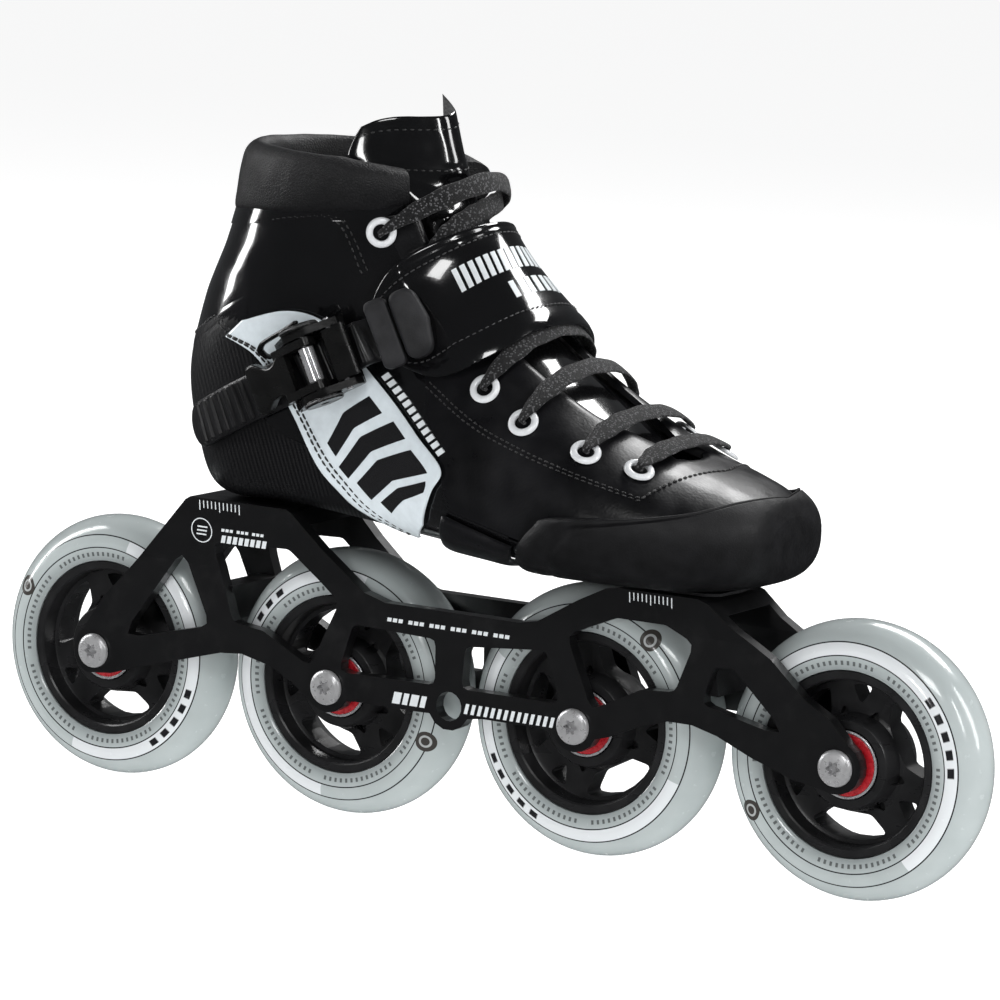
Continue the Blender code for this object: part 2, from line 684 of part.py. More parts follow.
def build_bumper(mat):
    """Rubber toe bumper: a cup over the toe, cut lower on top than at the sides."""
    edge = [(0.0, 1.15), (0.1, 1.42), (0.2, 1.85), (0.307, 2.5), (0.38, 3.3), (0.449, 4.3),
            (0.5, 4.95), (0.56, 5.15), (0.61, 5.2), (0.66, 5.24), (0.71, 5.3), (0.76, 5.35),
            (0.82, 5.4), (0.9, 5.4)]
    loop = edge + [(1.0, 5.4)] + [(-v, u) for v, u in reversed(edge[1:])]
    shares = [0.0, 0.18, 0.34, 0.5, 0.66, 0.83, 1.0]
    count = len(loop)
    verts = []
    for out in (SKIN, 1.15):
        for share in shares:
            for v, limit in loop:
                verts.append(skin(0.25 + (limit - 0.25) * share, v, out))
    rows = len(shares)
    half = rows * count
    faces = grid_faces(rows, count, close_cols=True)
    faces += [tuple(half + i for i in reversed(f)) for f in faces]
    rim = (rows - 1) * count
    for j in range(count):
        k = (j + 1) % count
        faces.append((rim + j, rim + k, half + rim + k, half + rim + j))
    faces.append(list(range(count)))
    faces.append([half + j for j in reversed(range(count))])
    return mesh_object("toe_bumper", verts, faces, mat, smooth=True)


def build_side_rail(name, side, mat):
    """Hard rail along the lower edge of the forefoot, just behind the bumper."""
    rows = []
    for t in spread(0, 1, 5):
        front = between([(5.32, 0.62), (5.48, 0.8), (5.55, 0.9)], t)
        back = between([(6.5, 0.60), (6.55, 0.75), (6.6, 0.9)], t)
        rows.append([(front[0] + (back[0] - front[0]) * s,
                      side * (front[1] + (back[1] - front[1]) * s)) for s in spread(0, 1, 5)])
    return layer(name, rows, 0.8, 2.8, mat)


def build_side_panel(name, side, mat):
    """Curved side panel sweeping from the ankle down to the waist of the foot."""
    rear = [(-80.5, 161.0), (-68.4, 156.2), (-59.0, 146.0), (-52.1, 136.1), (-46.9, 127.3),
            (-42.1, 120.4), (-36.1, 114.9), (-29.0, 109.2), (-17.0, 104.5), (-7.0, 102.5)]
    fore = [(-73.0, 167.0), (-57.2, 171.5), (-45.4, 170.6), (-36.0, 164.5), (-25.6, 154.9),
            (-14.3, 145.5), (-3.0, 136.2), (8.0, 127.0), (4.6, 119.5), (-0.5, 108.0)]
    rows = []
    for a, b in zip(rear, fore):
        row = []
        for t in spread(0.0, 1.0, 7):
            u, v = side_place(a[0] + (b[0] - a[0]) * t, a[1] + (b[1] - a[1]) * t)
            row.append((u, side * v))
        rows.append(row)
    return layer(name, rows, 1.2, 1.9, mat)


def build_instep_strap(mat):
    """Broad padded strap over the instep, tapering towards the buckle side."""
    low = [(8.55, -0.385), (7.75, -0.36), (7.15, -0.29), (6.8, -0.2), (6.65, -0.08), (6.6, 0.04),
           (6.65, 0.16), (6.8, 0.28), (7.05, 0.39), (7.4, 0.5), (7.8, 0.58)]
    high = [(9.95, -0.36), (10.6, -0.32), (10.95, -0.26), (10.9, -0.18), (10.7, -0.08),
            (10.6, 0.04), (10.6, 0.15), (10.5, 0.27), (10.3, 0.38), (10.1, 0.49), (9.9, 0.58)]
    rows = []
    for a, b in zip(low, high):
        rows.append([(a[0] + (b[0] - a[0]) * t, a[1] + (b[1] - a[1]) * t)
                     for t in (0.0, 0.25, 0.5, 0.75, 1.0)])

    def under(u, v):
        rise = min(max((v + 0.345) / 0.07, 0.0), 1.0) * min(max((0.56 - v) / 0.16, 0.0), 1.0)
        rest = 2.2 if v > 0 else 1.0
        return rest + (STRAP_UNDER - rest) * rise

    def over(u, v):
        return under(u, v) + STRAP_THICKNESS
    return layer("instep_strap", rows, under, over, mat)


# ---------------------------------------------------------------- eyelets and laces

def eyelet_axes(x, z, side):
    u, v = side_place(x, z)
    centre = skin(u, side * v)
    outward = facing(u, side * v)
    along = Vector((1, 0, 0)) - outward * outward.x
    along.normalize()
    return centre, outward, along, outward.cross(along)


def build_eyelet(name, x, z, side, mat):
    centre, outward, a, b = eyelet_axes(x, z, side)
    profile = [(EYELET_OUTER, 0.6), (EYELET_OUTER - 0.5, 1.5), (EYELET_INNER + 0.4, 1.7),
               (EYELET_INNER, 1.2), (EYELET_INNER, 0.6)]
    segments = 12
    verts = []
    for k in range(segments):
        angle = 2 * math.pi * k / segments
        ray = a * math.cos(angle) + b * math.sin(angle)
        for radius, lift in profile:
            verts.append(centre + ray * radius + outward * lift)
    faces = grid_faces(segments, len(profile), close_rows=True, close_cols=True)
    return mesh_object(name, verts, faces, mat, smooth=True)


def band(name, path, across, thick, mat):
    """Flat band along a path: one half-width vector per point, a thickness vector each."""
    verts = []
    for point, side, up in zip(path, across, thick):
        verts += [point - side - up, point + side - up, point + side + up, point - side + up]
    faces = grid_faces(len(path), 4, close_cols=True)
    faces.append((0, 1, 2, 3))
    end = 4 * (len(path) - 1)
    faces.append((end + 3, end + 2, end + 1, end))
    obj = mesh_object(name, verts, faces, mat, smooth=True)
    obj.data.set_sharp_from_angle(angle=math.radians(50))
    return obj


def build_lace(name, start, stop, rise, climb, mat):
    """Lace strand from an eyelet on the outer side, over the throat, to one on the inner."""
    ends = []
    for (x, z), side in ((start, -1), (stop, 1)):
        u, v = side_place(x, z)
        ends.append((u, side * v))
    path = []
    across = []
    thick = []
    for k, t in enumerate((0.0, 0.0, 0.06, 0.18, 0.32, 0.5, 0.68, 0.82, 0.94, 1.0, 1.0)):
        u = ends[0][0] + (ends[1][0] - ends[0][0]) * t + climb * math.sin(math.pi * t)
        v = ends[0][1] + (ends[1][1] - ends[0][1]) * t
        stub = k in (0, 10)
        out = 0.9 if stub else 2.75 + rise * math.sin(math.pi * t)
        wide = 1.3 if k in (0, 1, 9, 10) else (2.3 if k in (2, 8) else 3.4)
        path.append(skin(u, v, 0.0) + facing(u, v) * out)
        step = skin(min(u + 0.05, LAST), v) - skin(u - 0.05, v)
        across.append(step.normalized() * wide)
    for k in range(len(path)):
        ahead = path[min(k + 1, len(path) - 1)] - path[max(k - 1, 0)]
        if k in (1, len(path) - 2):
            ahead = path[2] - path[0] if k == 1 else path[-1] - path[-3]
        across[k] = (across[k] - ahead * (across[k].dot(ahead) / ahead.length_squared))
        up = ahead.cross(across[k]).normalized() * 0.6
        thick.append(up)
    return band(name, path, across, thick, mat)


def build_crossing(name, mat):
    """Lace run from the inner top eyelet down across the throat and under the strap."""
    route = [(13.3, 0.19, 3.4), (13.05, 0.155, 3.5), (12.7, 0.11, 3.4), (12.35, 0.05, 3.2),
             (12.0, -0.01, 3.1), (11.75, -0.06, 3.0), (11.45, -0.11, 2.9), (11.1, -0.15, 2.8),
             (10.7, -0.18, 2.75), (10.3, -0.195, 2.75)]
    path = [skin(u, v) + facing(u, v) * out for u, v, out in route]
    across = []
    thick = []
    for k, (u, v, _) in enumerate(route):
        ahead = (path[min(k + 1, len(path) - 1)] - path[max(k - 1, 0)]).normalized()
        side = facing(u, v).cross(ahead).normalized()
        across.append(side * (2.6 if k in (0, len(path) - 1) else 3.3))
        thick.append(ahead.cross(side).normalized() * 0.6)
    return band(name, path, across, thick, mat)


# ---------------------------------------------------------------- ratchet buckle

def buckle_axes():
    """Local frame of the buckle: along the strap to the toe, across it, and outwards."""
    along = Vector((math.cos(STRAP_RISE), 0.0, math.sin(STRAP_RISE)))
    out = Vector((0.0, -1.0, 0.0))
    return along, out.cross(along), out


def local(a, b, c):
    """Buckle-local place: a along the strap, b across it, c out from the boot's side."""
    along, across, out = buckle_axes()
    base = Vector((BUCKLE_X, 0.0, BUCKLE_Z))
    base.y = on_side(BUCKLE_X, BUCKLE_Z, -1).y
    return base + along * a + across * b + out * c


def slab(name, outline, b0, b1, mat):
    """Outline in (a, c) carried across the strap from b0 to b1."""
    count = len(outline)
    verts = [local(a, b0, c) for a, c in outline] + [local(a, b1, c) for a, c in outline]
    faces = [list(range(count)), list(range(2 * count - 1, count - 1, -1))]
    for i in range(count):
        j = (i + 1) % count
        faces.append((i, j, count + j, count + i))
    return mesh_object(name, verts, faces, mat)


def build_ladder(mat):
    """Toothed strap from the cover block, through the buckle and round to the heel."""
    slope = math.tan(STRAP_RISE)
    xs = spread(-19.5, -98.0, 33)
    path = []
    across = []
    thick = []
    for k, x in enumerate(xs):
        z = BUCKLE_Z + (x - BUCKLE_X) * slope
        u, v = side_place(x, z)
        rib = 1.25 if k % 2 else 0.85
        lift = min(max((x + 27.0) / -4.0, 0.0), 1.0) * min(max((x + 68.0) / 12.0, 0.0), 1.0)
        out = 4.7 + 1.5 * lift - 2.2 * min(max((x + 62.0) / -20.0, 0.0), 1.0)
        centre = skin(u, -v) + facing(u, -v) * (out + (rib - 0.85))
        if -58.0 < x < -23.0:
            centre.y = min(centre.y, local(0.0, 0.0, 6.7 + (rib - 0.85)).y)
        path.append(centre)
        thick.append(facing(u, -v) * rib)
    for k in range(len(path)):
        ahead = path[min(k + 1, len(path) - 1)] - path[max(k - 1, 0)]
        side = ahead.cross(thick[k]).normalized()
        taper = 1.0 if k < len(path) - 3 else 1.0 - 0.16 * (k - len(path) + 3) ** 1.5
        across.append(side * LADDER_HALF_WIDTH * taper)
    return band("ladder_strap", path, across, thick, mat)


def build_cover_block(mat):
    """Moulded two-part cover where the toothed strap joins the instep strap."""
    outline = rounded([(20.5, -11.5), (37.5, -11.5), (39.5, 0), (37.5, 11.5), (20.5, 11.5)], 4.5)
    groove = 28.0
    verts = []
    rows = []
    for a, b in outline:
        rows.append((a, b))
    centre = Vector((29.5, 0.0))
    for scale, lift in ((0.97, 0.0), (1.0, 1.0), (1.0, 3.2), (0.9, 4.4)):
        for a, b in rows:
            p = centre + (Vector((a, b)) - centre) * scale
            verts.append(cover_place(p.x, p.y, lift))
    count = len(rows)
    faces = grid_faces(4, count, close_cols=True)
    faces.append(list(range(count)))
    faces.append([3 * count + j for j in reversed(range(count))])
    block = mesh_object("strap_cover", verts, faces, mat, smooth=False)
    tool = material("tool", (0.5, 0.5, 0.5))
    cut_verts = []
    for a, b, lift in ((groove, -14, 3.2), (groove + 1.2, -14, 3.2), (groove + 1.2, 14, 3.2),
                       (groove, 14, 3.2), (groove - 0.6, -14, 8), (groove + 1.8, -14, 8),
                       (groove + 1.8, 14, 8), (groove - 0.6, 14, 8)):
        cut_verts.append(cover_place(a, b, lift))
    cut_faces = [(3, 2, 1, 0), (4, 5, 6, 7), (0, 1, 5, 4), (1, 2, 6, 5), (2, 3, 7, 6), (3, 0, 4, 7)]
    combine(block, [mesh_object("groove", cut_verts, cut_faces, tool)], "DIFFERENCE")
    block.data.materials.clear()
    block.data.materials.append(mat)
    return block


def cover_place(a, b, lift):
    """Place on the cover block, which leans inwards with the instep."""
    lean = math.radians(24)
    start = 20.0
    c = 8.2 + lift
    reach = a - start
    flat = local(start, b, 0.0)
    along, _, out = buckle_axes()
    turned_along = along * math.cos(lean) - out * math.sin(lean)
    turned_out = out * math.cos(lean) + along * math.sin(lean)
    return flat + turned_along * reach + turned_out * c


def build_buckle_base(mat):
    """Buckle base: a floor plate under the strap with a cheek on either side."""
    floor = slab("buckle_base", [(-15, 4.2), (13, 4.2), (13, 5.1), (-15, 5.1)], -11.2, 11.2, mat)
    cheek = rounded([(-13.5, 4.0), (13.5, 4.0), (14.0, 11.0), (5.5, 17.0), (-3.5, 17.0),
                     (-13.5, 8.0)], 2.4)
    parts = [slab("cheek", cheek, -11.6, -9.2, mat), slab("cheek", cheek, 9.2, 11.6, mat)]
    combine(floor, parts, "UNION")
    tool = material("tool", (0.5, 0.5, 0.5))
    holes = [local_pin("hole", PIN[0], PIN[1], 1.75, -20, 20, 12, tool),
             local_pin("hole", PAWL_PIN[0], PAWL_PIN[1], 1.3, -20, 20, 10, tool)]
    combine(floor, holes, "DIFFERENCE")
    floor.data.materials.clear()
    floor.data.materials.append(mat)
    return floor


def local_pin(name, a, c, radius, b0, b1, segments, mat):
    """Round pin across the buckle."""
    verts = []
    for b in (b0, b1):
        for k in range(segments):
            angle = 2 * math.pi * k / segments
            verts.append(local(a + radius * math.cos(angle), b, c + radius * math.sin(angle)))
    faces = [list(range(segments)), [segments + k for k in reversed(range(segments))]]
    for k in range(segments):
        j = (k + 1) % segments
        faces.append((k, j, segments + j, segments + k))
    return mesh_object(name, verts, faces, mat, smooth=False)


def build_buckle_lever(mat):
    """Ratchet lever: two arms on the main pin joined by a broad finger grip."""
    arm = rounded([(-19.0, 12.6), (-17.0, 9.4), (-5.0, 10.4), (4.4, 9.8), (4.6, 16.4),
                   (-3.0, 16.6), (-12.0, 14.6)], 1.8)
    lever = slab("buckle_lever", arm, -8.8, -6.2, mat)
    grip = rounded([(-25.5, 11.4), (-24.0, 8.7), (-10.0, 9.9), (-6.5, 12.0), (-6.5, 15.2),
                    (-13.0, 15.0)], 1.6)
    parts = [slab("arm", arm, 6.2, 8.8, mat), slab("grip", grip, -8.6, 8.6, mat)]
    combine(lever, parts, "UNION")
    tool = material("tool", (0.5, 0.5, 0.5))
    combine(lever, [local_pin("hole", PIN[0], PIN[1], 1.95, -20, 20, 12, tool)], "DIFFERENCE")
    lever.data.materials.clear()
    lever.data.materials.append(mat)
    set_origin(lever, local(PIN[0], 0.0, PIN[1]))
    return lever


def build_release(mat):
    """Spring-loaded release pawl that holds the strap's teeth at the toe end."""
    shape = rounded([(6.6, 10.8), (8.6, 9.0), (12.8, 9.0), (17.5, 11.6), (16.8, 13.4),
                     (12.6, 13.0), (8.6, 12.9)], 0.8)
    pawl = slab("buckle_release", shape, -8.7, 8.7, mat)
    tool = material("tool", (0.5, 0.5, 0.5))
    hole = local_pin("hole", PAWL_PIN[0], PAWL_PIN[1], 1.3, -20, 20, 10, tool)
    combine(pawl, [hole], "DIFFERENCE")
    pawl.data.materials.clear()
    pawl.data.materials.append(mat)
    set_origin(pawl, local(PAWL_PIN[0], 0.0, PAWL_PIN[1]))
    return pawl


def build_all():
    black_metal = material("black_anodised_aluminium", (0.02, 0.02, 0.022), 0.9, 0.35)
    steel = material("bright_steel", (0.62, 0.62, 0.64), 1.0, 0.25)
    urethane = material("pale_urethane", (0.62, 0.67, 0.66), 0.0, 0.3)
    hub_black = material("black_hub_plastic", (0.012, 0.012, 0.013), 0.0, 0.25)
    red_shield = material("red_bearing_shield", (0.55, 0.02, 0.03), 0.0, 0.4)
    carbon = material("matt_black_shell", (0.02, 0.02, 0.021), 0.0, 0.5)
    patent = material("black_patent_leather", (0.008, 0.008, 0.009), 0.0, 0.12)
    soft = material("grained_black_leather", (0.02, 0.02, 0.02), 0.0, 0.6)
    rubber = material("dark_rubber", (0.03, 0.03, 0.031), 0.0, 0.6)
    white = material("white_patent", (0.8, 0.84, 0.86), 0.0, 0.25)
    enamel = material("white_enamel", (0.85, 0.86, 0.87), 0.0, 0.3)
    nylon = material("black_nylon", (0.015, 0.015, 0.016), 0.0, 0.35)
    cloth = material("heather_lace", (0.06, 0.06, 0.065), 0.0, 0.8)
    foam = material("insole_cloth", (0.05, 0.05, 0.055), 0.0, 0.8)
    chrome = material("chrome", (0.8, 0.8, 0.82), 1.0, 0.1)

    build_frame(black_metal)
    build_mount_bolt("rear_mount_bolt", REAR_MOUNT_X, REAR_DECK_TOP, steel)
    build_mount_bolt("front_mount_bolt", FRONT_MOUNT_X, FRONT_DECK_TOP, steel)
    build_mount_plate("front_mount_plate", 62.0, 97.0, 16.0, FRONT_DECK_TOP + 0.3,
                      FRONT_DECK_TOP + 1.25, rubber)
    for i, x in enumerate(AXLE_X):
        label = "wheel_%d" % (i + 1)
        parts = [build_tyre(label + "_tyre", x, urethane),
                 build_hub(label + "_hub", x, WHEEL_TURN[i], hub_black),
                 build_bearing(label + "_bearing_right", x, -1, red_shield),
                 build_bearing(label + "_bearing_left", x, 1, red_shield)]
        for part in parts:
            set_origin(part, (x, 0, WHEEL_RADIUS))
        build_axle(label + "_axle", x, steel)
    build_shell(carbon)
    build_upper(patent)
    build_collar(soft)
    build_tongue(patent)
    build_footbed(foam)
    build_bumper(rubber)
    for label, side in (("right", -1), ("left", 1)):
        build_side_rail("side_rail_" + label, side, carbon)
        build_side_panel("side_panel_" + label, side, white)
        for i, (x, z) in enumerate(EYELETS):
            build_eyelet("eyelet_%s_%d" % (label, i + 1), x, z, side, enamel)
    for i, (x, z) in enumerate(EYELETS):
        top = i == len(EYELETS) - 1
        build_lace("lace_strand_%d" % (i + 1), (x, z), (x, z), 5.0 if top else 0.3,
                   1.2 if top else 0.0, cloth)
    build_crossing("lace_strand_6", cloth)
    build_instep_strap(patent)
    build_ladder(nylon)
    build_cover_block(rubber)
    build_buckle_base(nylon)
    build_buckle_lever(nylon)
    build_release(nylon)
    local_pin("buckle_pin", PIN[0], PIN[1], 1.4, -12.4, 12.4, 12, chrome)
    local_pin("release_pin", PAWL_PIN[0], PAWL_PIN[1], 1.0, -12.2, 12.2, 10, steel)
    for obj in bpy.data.objects:
        obj.data.validate()


build_all()
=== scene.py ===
"""Visual model of a right-foot inline speed skate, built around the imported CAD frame.

Shapes are drawn in millimetres and MM turns them into the metres of the scene; lamps, the
floor and the shaders' coordinates are in metres.  X runs towards the toe, Y to the skater's
left, Z up.
"""
import math

import bmesh
import bpy
import numpy as np
from mathutils import Matrix, Vector, noise


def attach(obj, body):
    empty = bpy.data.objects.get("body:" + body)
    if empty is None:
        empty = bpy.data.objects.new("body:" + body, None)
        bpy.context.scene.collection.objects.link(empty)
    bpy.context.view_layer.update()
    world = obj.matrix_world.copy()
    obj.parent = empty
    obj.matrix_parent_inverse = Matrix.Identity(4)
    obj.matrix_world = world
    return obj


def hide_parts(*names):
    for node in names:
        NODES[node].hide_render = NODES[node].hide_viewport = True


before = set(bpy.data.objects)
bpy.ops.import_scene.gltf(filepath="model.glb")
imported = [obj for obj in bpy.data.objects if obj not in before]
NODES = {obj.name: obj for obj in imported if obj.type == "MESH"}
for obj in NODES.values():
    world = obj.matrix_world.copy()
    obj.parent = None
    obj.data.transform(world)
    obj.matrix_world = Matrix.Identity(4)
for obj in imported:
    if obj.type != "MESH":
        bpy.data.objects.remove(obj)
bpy.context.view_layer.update()        # refresh the scene after the import
MM = 0.001
AXLE_SPAN = 286.0
WHEEL_RADIUS = 45.0
PITCH = AXLE_SPAN / 3.0 * MM

# ---------------------------------------------------------------- camera, light, floor

CAMERA_PLACE = (838.16, -1377.95, 362.81)
CAMERA_TURN = (31.13, 8.85, 2.28)
FOCAL_PIXELS = 4973.55
IMAGE_PIXELS = 1000.0
SENSOR = 36.0


def link(name, data):
    """New object in the scene."""
    obj = bpy.data.objects.new(name, data)
    bpy.context.scene.collection.objects.link(obj)
    return obj


def make_camera():
    """Camera at the product-shot angle: azimuth, elevation and a slight roll, in degrees."""
    a, e, r = (math.radians(d) for d in CAMERA_TURN)
    back = Vector((math.sin(a) * math.cos(e), -math.cos(a) * math.cos(e), math.sin(e)))
    right = Vector((math.cos(a), math.sin(a), 0.0))
    up = back.cross(right)
    x = right * math.cos(r) + up * math.sin(r)
    y = up * math.cos(r) - right * math.sin(r)
    rows = ((x.x, y.x, back.x), (x.y, y.y, back.y), (x.z, y.z, back.z))
    data = bpy.data.cameras.new("camera")
    data.sensor_width = SENSOR
    data.lens = FOCAL_PIXELS * SENSOR / IMAGE_PIXELS
    data.clip_end = 50.0
    camera = link("camera", data)
    camera.matrix_world = Matrix.Translation(Vector(CAMERA_PLACE) * MM) @ Matrix(rows).to_4x4()
    bpy.context.scene.camera = camera


def soft_box(name, place, aim, size, power):
    """Rectangular lamp in metres, turned towards a point."""
    data = bpy.data.lights.new(name, "AREA")
    data.shape = "RECTANGLE"
    data.size, data.size_y = size
    data.energy = power
    lamp = link(name, data)
    lamp.location = place
    lamp.rotation_euler = (Vector(aim) - Vector(place)).to_track_quat("-Z", "Y").to_euler()


def make_light():
    """Faint sky and six soft lamps."""
    world = bpy.data.worlds.new("studio")
    bpy.context.scene.world = world
    world.use_nodes = True
    sky = world.node_tree.nodes["Background"]
    sky.inputs["Color"].default_value = (0.93, 0.96, 1.0, 1.0)
    sky.inputs["Strength"].default_value = 0.06
    soft_box("top_box", (0.15, 1.05, 1.25), (0.0, 0.0, 0.15), (1.3, 0.4), 21.0)
    soft_box("left_strip", (-1.35, -0.25, 0.7), (-0.03, 0.0, 0.16), (0.25, 1.2), 11.0)
    soft_box("front_box", (0.9, -1.5, 1.5), (0.0, 0.0, 0.10), (0.7, 0.5), 12.0)
    soft_box("right_strip", (1.35, 0.35, 0.7), (0.05, 0.0, 0.15), (0.25, 1.0), 7.0)
    soft_box("side_box", (0.02, -1.68, 0.44), (-0.05, 0.0, 0.2), (0.2, 0.26), 2.5)
    soft_box("front_strip", (1.42, -0.52, 0.8), (-0.03, 0.0, 0.2), (0.1, 0.6), 3.0)
    bpy.context.scene.view_settings.view_transform = "Standard"


# ---------------------------------------------------------------- procedural materials

class Finish:
    """A procedural material: a Principled shader and the nodes that feed it."""

    def __init__(self, name, colour, rough, metal=0.0, coat=0.0, coat_rough=0.03, sheen=0.0,
                 subsurface=0.0, shine=0.5):
        self.mat = bpy.data.materials.new(name)
        self.mat.use_nodes = True
        self.tree = self.mat.node_tree
        self.shader = self.tree.nodes["Principled BSDF"]
        put = self.shader.inputs
        put["Base Color"].default_value = (*colour, 1.0)
        put["Roughness"].default_value = rough
        put["Metallic"].default_value = metal
        put["Coat Weight"].default_value = coat
        put["Coat Roughness"].default_value = coat_rough
        put["Sheen Weight"].default_value = sheen
        put["Specular IOR Level"].default_value = shine
        if subsurface:
            put["Subsurface Weight"].default_value = subsurface
            put["Subsurface Radius"].default_value = (1.0, 1.0, 1.0)
            put["Subsurface Scale"].default_value = 0.003
        self.base = colour
        self.place = None

    def node(self, kind, **settings):
        """New shader node, with its settings."""
        made = self.tree.nodes.new("ShaderNode" + kind)
        for key, value in settings.items():
            setattr(made, key, value)
        return made

    def feed(self, socket, value):
        """Link a socket to the output given, or set it to the value given."""
        if isinstance(value, bpy.types.NodeSocket):
            self.tree.links.new(value, socket)
        elif isinstance(value, (tuple, list)) and len(value) == 3 and socket.type == "RGBA":
            socket.default_value = (*value, 1.0)
        else:
            socket.default_value = value

    def coords(self, kind="Object"):
        if self.place is None:
            self.place = self.node("TexCoord")
        return self.place.outputs[kind]

    def math(self, operation, a, b=0.0, c=0.0):
        made = self.node("Math", operation=operation)
        for socket, value in zip(made.inputs, (a, b, c)):
            self.feed(socket, value)
        return made.outputs[0]

    def times(self, a, b):
        return self.math("MULTIPLY", a, b)

    def plus(self, a, b):
        return self.math("ADD", a, b)

    def minus(self, a, b):
        return self.math("SUBTRACT", a, b)

    def length(self, a, b):
        """Length of the flat vector (a, b)."""
        return self.math("SQRT", self.plus(self.times(a, a), self.times(b, b)))

    def split(self, vector):
        made = self.node("SeparateXYZ")
        self.feed(made.inputs[0], vector)
        return made.outputs

    def shift(self, vector, scale=(1, 1, 1), turn=(0, 0, 0)):
        """Coordinates stretched and turned."""
        made = self.node("Mapping")
        self.feed(made.inputs["Vector"], vector)
        made.inputs["Scale"].default_value = scale
        made.inputs["Rotation"].default_value = turn
        return made.outputs[0]

    def noise(self, scale, detail=2.0, vector=None, roughness=0.5):
        made = self.node("TexNoise")
        self.feed(made.inputs["Vector"], self.coords() if vector is None else vector)
        made.inputs["Scale"].default_value = scale
        made.inputs["Detail"].default_value = detail
        made.inputs["Roughness"].default_value = roughness
        return made.outputs["Fac"]

    def cells(self, scale, feature):
        made = self.node("TexVoronoi", feature=feature)
        self.feed(made.inputs["Vector"], self.coords())
        made.inputs["Scale"].default_value = scale
        return made.outputs["Distance"]

    def ramp(self, value, low, high, start=0.0, stop=1.0):
        """Value between low and high becomes start to stop."""
        made = self.node("MapRange", clamp=True)
        for socket, item in zip(made.inputs, (value, low, high, start, stop)):
            self.feed(socket, item)
        return made.outputs[0]

    def mix(self, factor, a, b):
        made = self.node("Mix", data_type="RGBA")
        self.feed(made.inputs[0], factor)
        self.feed(made.inputs[6], a)
        self.feed(made.inputs[7], b)
        return made.outputs[2]

    def colour(self, value):
        self.feed(self.shader.inputs["Base Color"], value)
        return self

    def rough(self, value):
        self.feed(self.shader.inputs["Roughness"], value)
        return self

    def worn(self, scale, detail, low, high):
        """Roughness that wanders between two values."""
        return self.rough(self.ramp(self.noise(scale, detail), 0.3, 0.7, low, high))

    def bump(self, height, distance, strength=1.0):
        """Bump from a height, distance in millimetres; calls stack on each other."""
        made = self.node("Bump")
        made.inputs["Distance"].default_value = distance * MM
        made.inputs["Strength"].default_value = strength
        self.feed(made.inputs["Height"], height)
        before = self.shader.inputs["Normal"]
        if before.is_linked:
            self.feed(made.inputs["Normal"], before.links[0].from_socket)
        self.feed(before, made.outputs[0])
        return self

    def vary(self, scale, amount, detail=3.0):
        """Base colour lightened and darkened a little by a noise."""
        dark = tuple(c * (1 - amount) for c in self.base)
        light = tuple(min(1.0, c * (1 + amount)) for c in self.base)
        return self.colour(self.mix(self.ramp(self.noise(scale, detail), 0.3, 0.7), dark, light))


def patent_finish():
    """Lacquered leather: deep gloss, slow ripples and a fine orange peel."""
    rough = 0.12
    f = Finish("black_patent", (0.0035, 0.0035, 0.004), rough, coat=1.0, coat_rough=0.02)
    f.vary(40, 0.35)
    f.rough(f.ramp(f.noise(70, 4), 0.3, 0.75, rough * 0.6, rough * 1.6))
    f.bump(f.noise(55, 2), 0.9, 0.35)
    return f.bump(f.noise(1500, 2), 0.05, 0.25).mat


def satin_finish():
    """Smooth finished leather with small pores."""
    f = Finish("satin_leather", (0.005, 0.005, 0.006), 0.3, coat=0.12, coat_rough=0.1, shine=0.3)
    f.vary(60, 0.4)
    grain = f.cells(1100, feature="SMOOTH_F1")
    f.worn(120, 4, 0.26, 0.42)
    f.bump(f.noise(60, 3), 0.7, 0.3)
    return f.bump(grain, 0.12, 0.35).mat


def grain_finish():
    """Soft pebbled leather of the collar."""
    f = Finish("grained_leather", (0.008, 0.008, 0.009), 0.5, shine=0.35)
    pebble = f.cells(950, feature="DISTANCE_TO_EDGE")
    fine = f.noise(1800, 3)
    f.colour(f.mix(f.ramp(pebble, 0.0, 0.12), (0.003, 0.003, 0.004), (0.008, 0.008, 0.009)))
    f.worn(160, 4, 0.44, 0.62)
    f.bump(f.ramp(pebble, 0.0, 0.22), 0.13, 0.6)
    f.bump(fine, 0.06, 0.4)
    return f.bump(f.noise(70, 3), 1.0, 0.3).mat


def twill_finish():
    """Matt lacquer over a twill weave, as on a laid-up shell."""
    f = Finish("twill_shell", (0.007, 0.007, 0.008), 0.42, coat=0.1, coat_rough=0.3, shine=0.3)
    x, y, z = f.split(f.coords())
    run = f.plus(f.times(x, 0.92), f.times(y, 0.6))
    warp = f.times(f.plus(run, z), 900.0)
    weft = f.times(f.minus(run, z), 900.0)
    steps = f.math("FLOOR", weft)
    over = f.math("PINGPONG", f.plus(warp, f.times(steps, 0.5)), 1.0)
    tow = f.math("PINGPONG", weft, 1.0)
    light = f.ramp(over, 0.35, 0.65)
    f.colour(f.mix(light, (0.003, 0.003, 0.004), (0.01, 0.01, 0.011)))
    f.rough(f.ramp(over, 0.3, 0.7, 0.34, 0.52))
    f.bump(f.times(over, tow), 0.04, 0.5)
    return f.bump(f.noise(90, 3), 0.5, 0.25).mat


def rubber_finish(name, colour, rough):
    """Moulded rubber with a spark-eroded texture and a little dust in it."""
    f = Finish(name, colour, rough, shine=0.25)
    f.vary(140, 0.3)
    f.worn(220, 5, rough - 0.08, rough + 0.1)
    f.bump(f.noise(1500, 5, roughness=0.7), 0.14, 0.7)
    return f.bump(f.noise(120, 2), 0.25, 0.25).mat


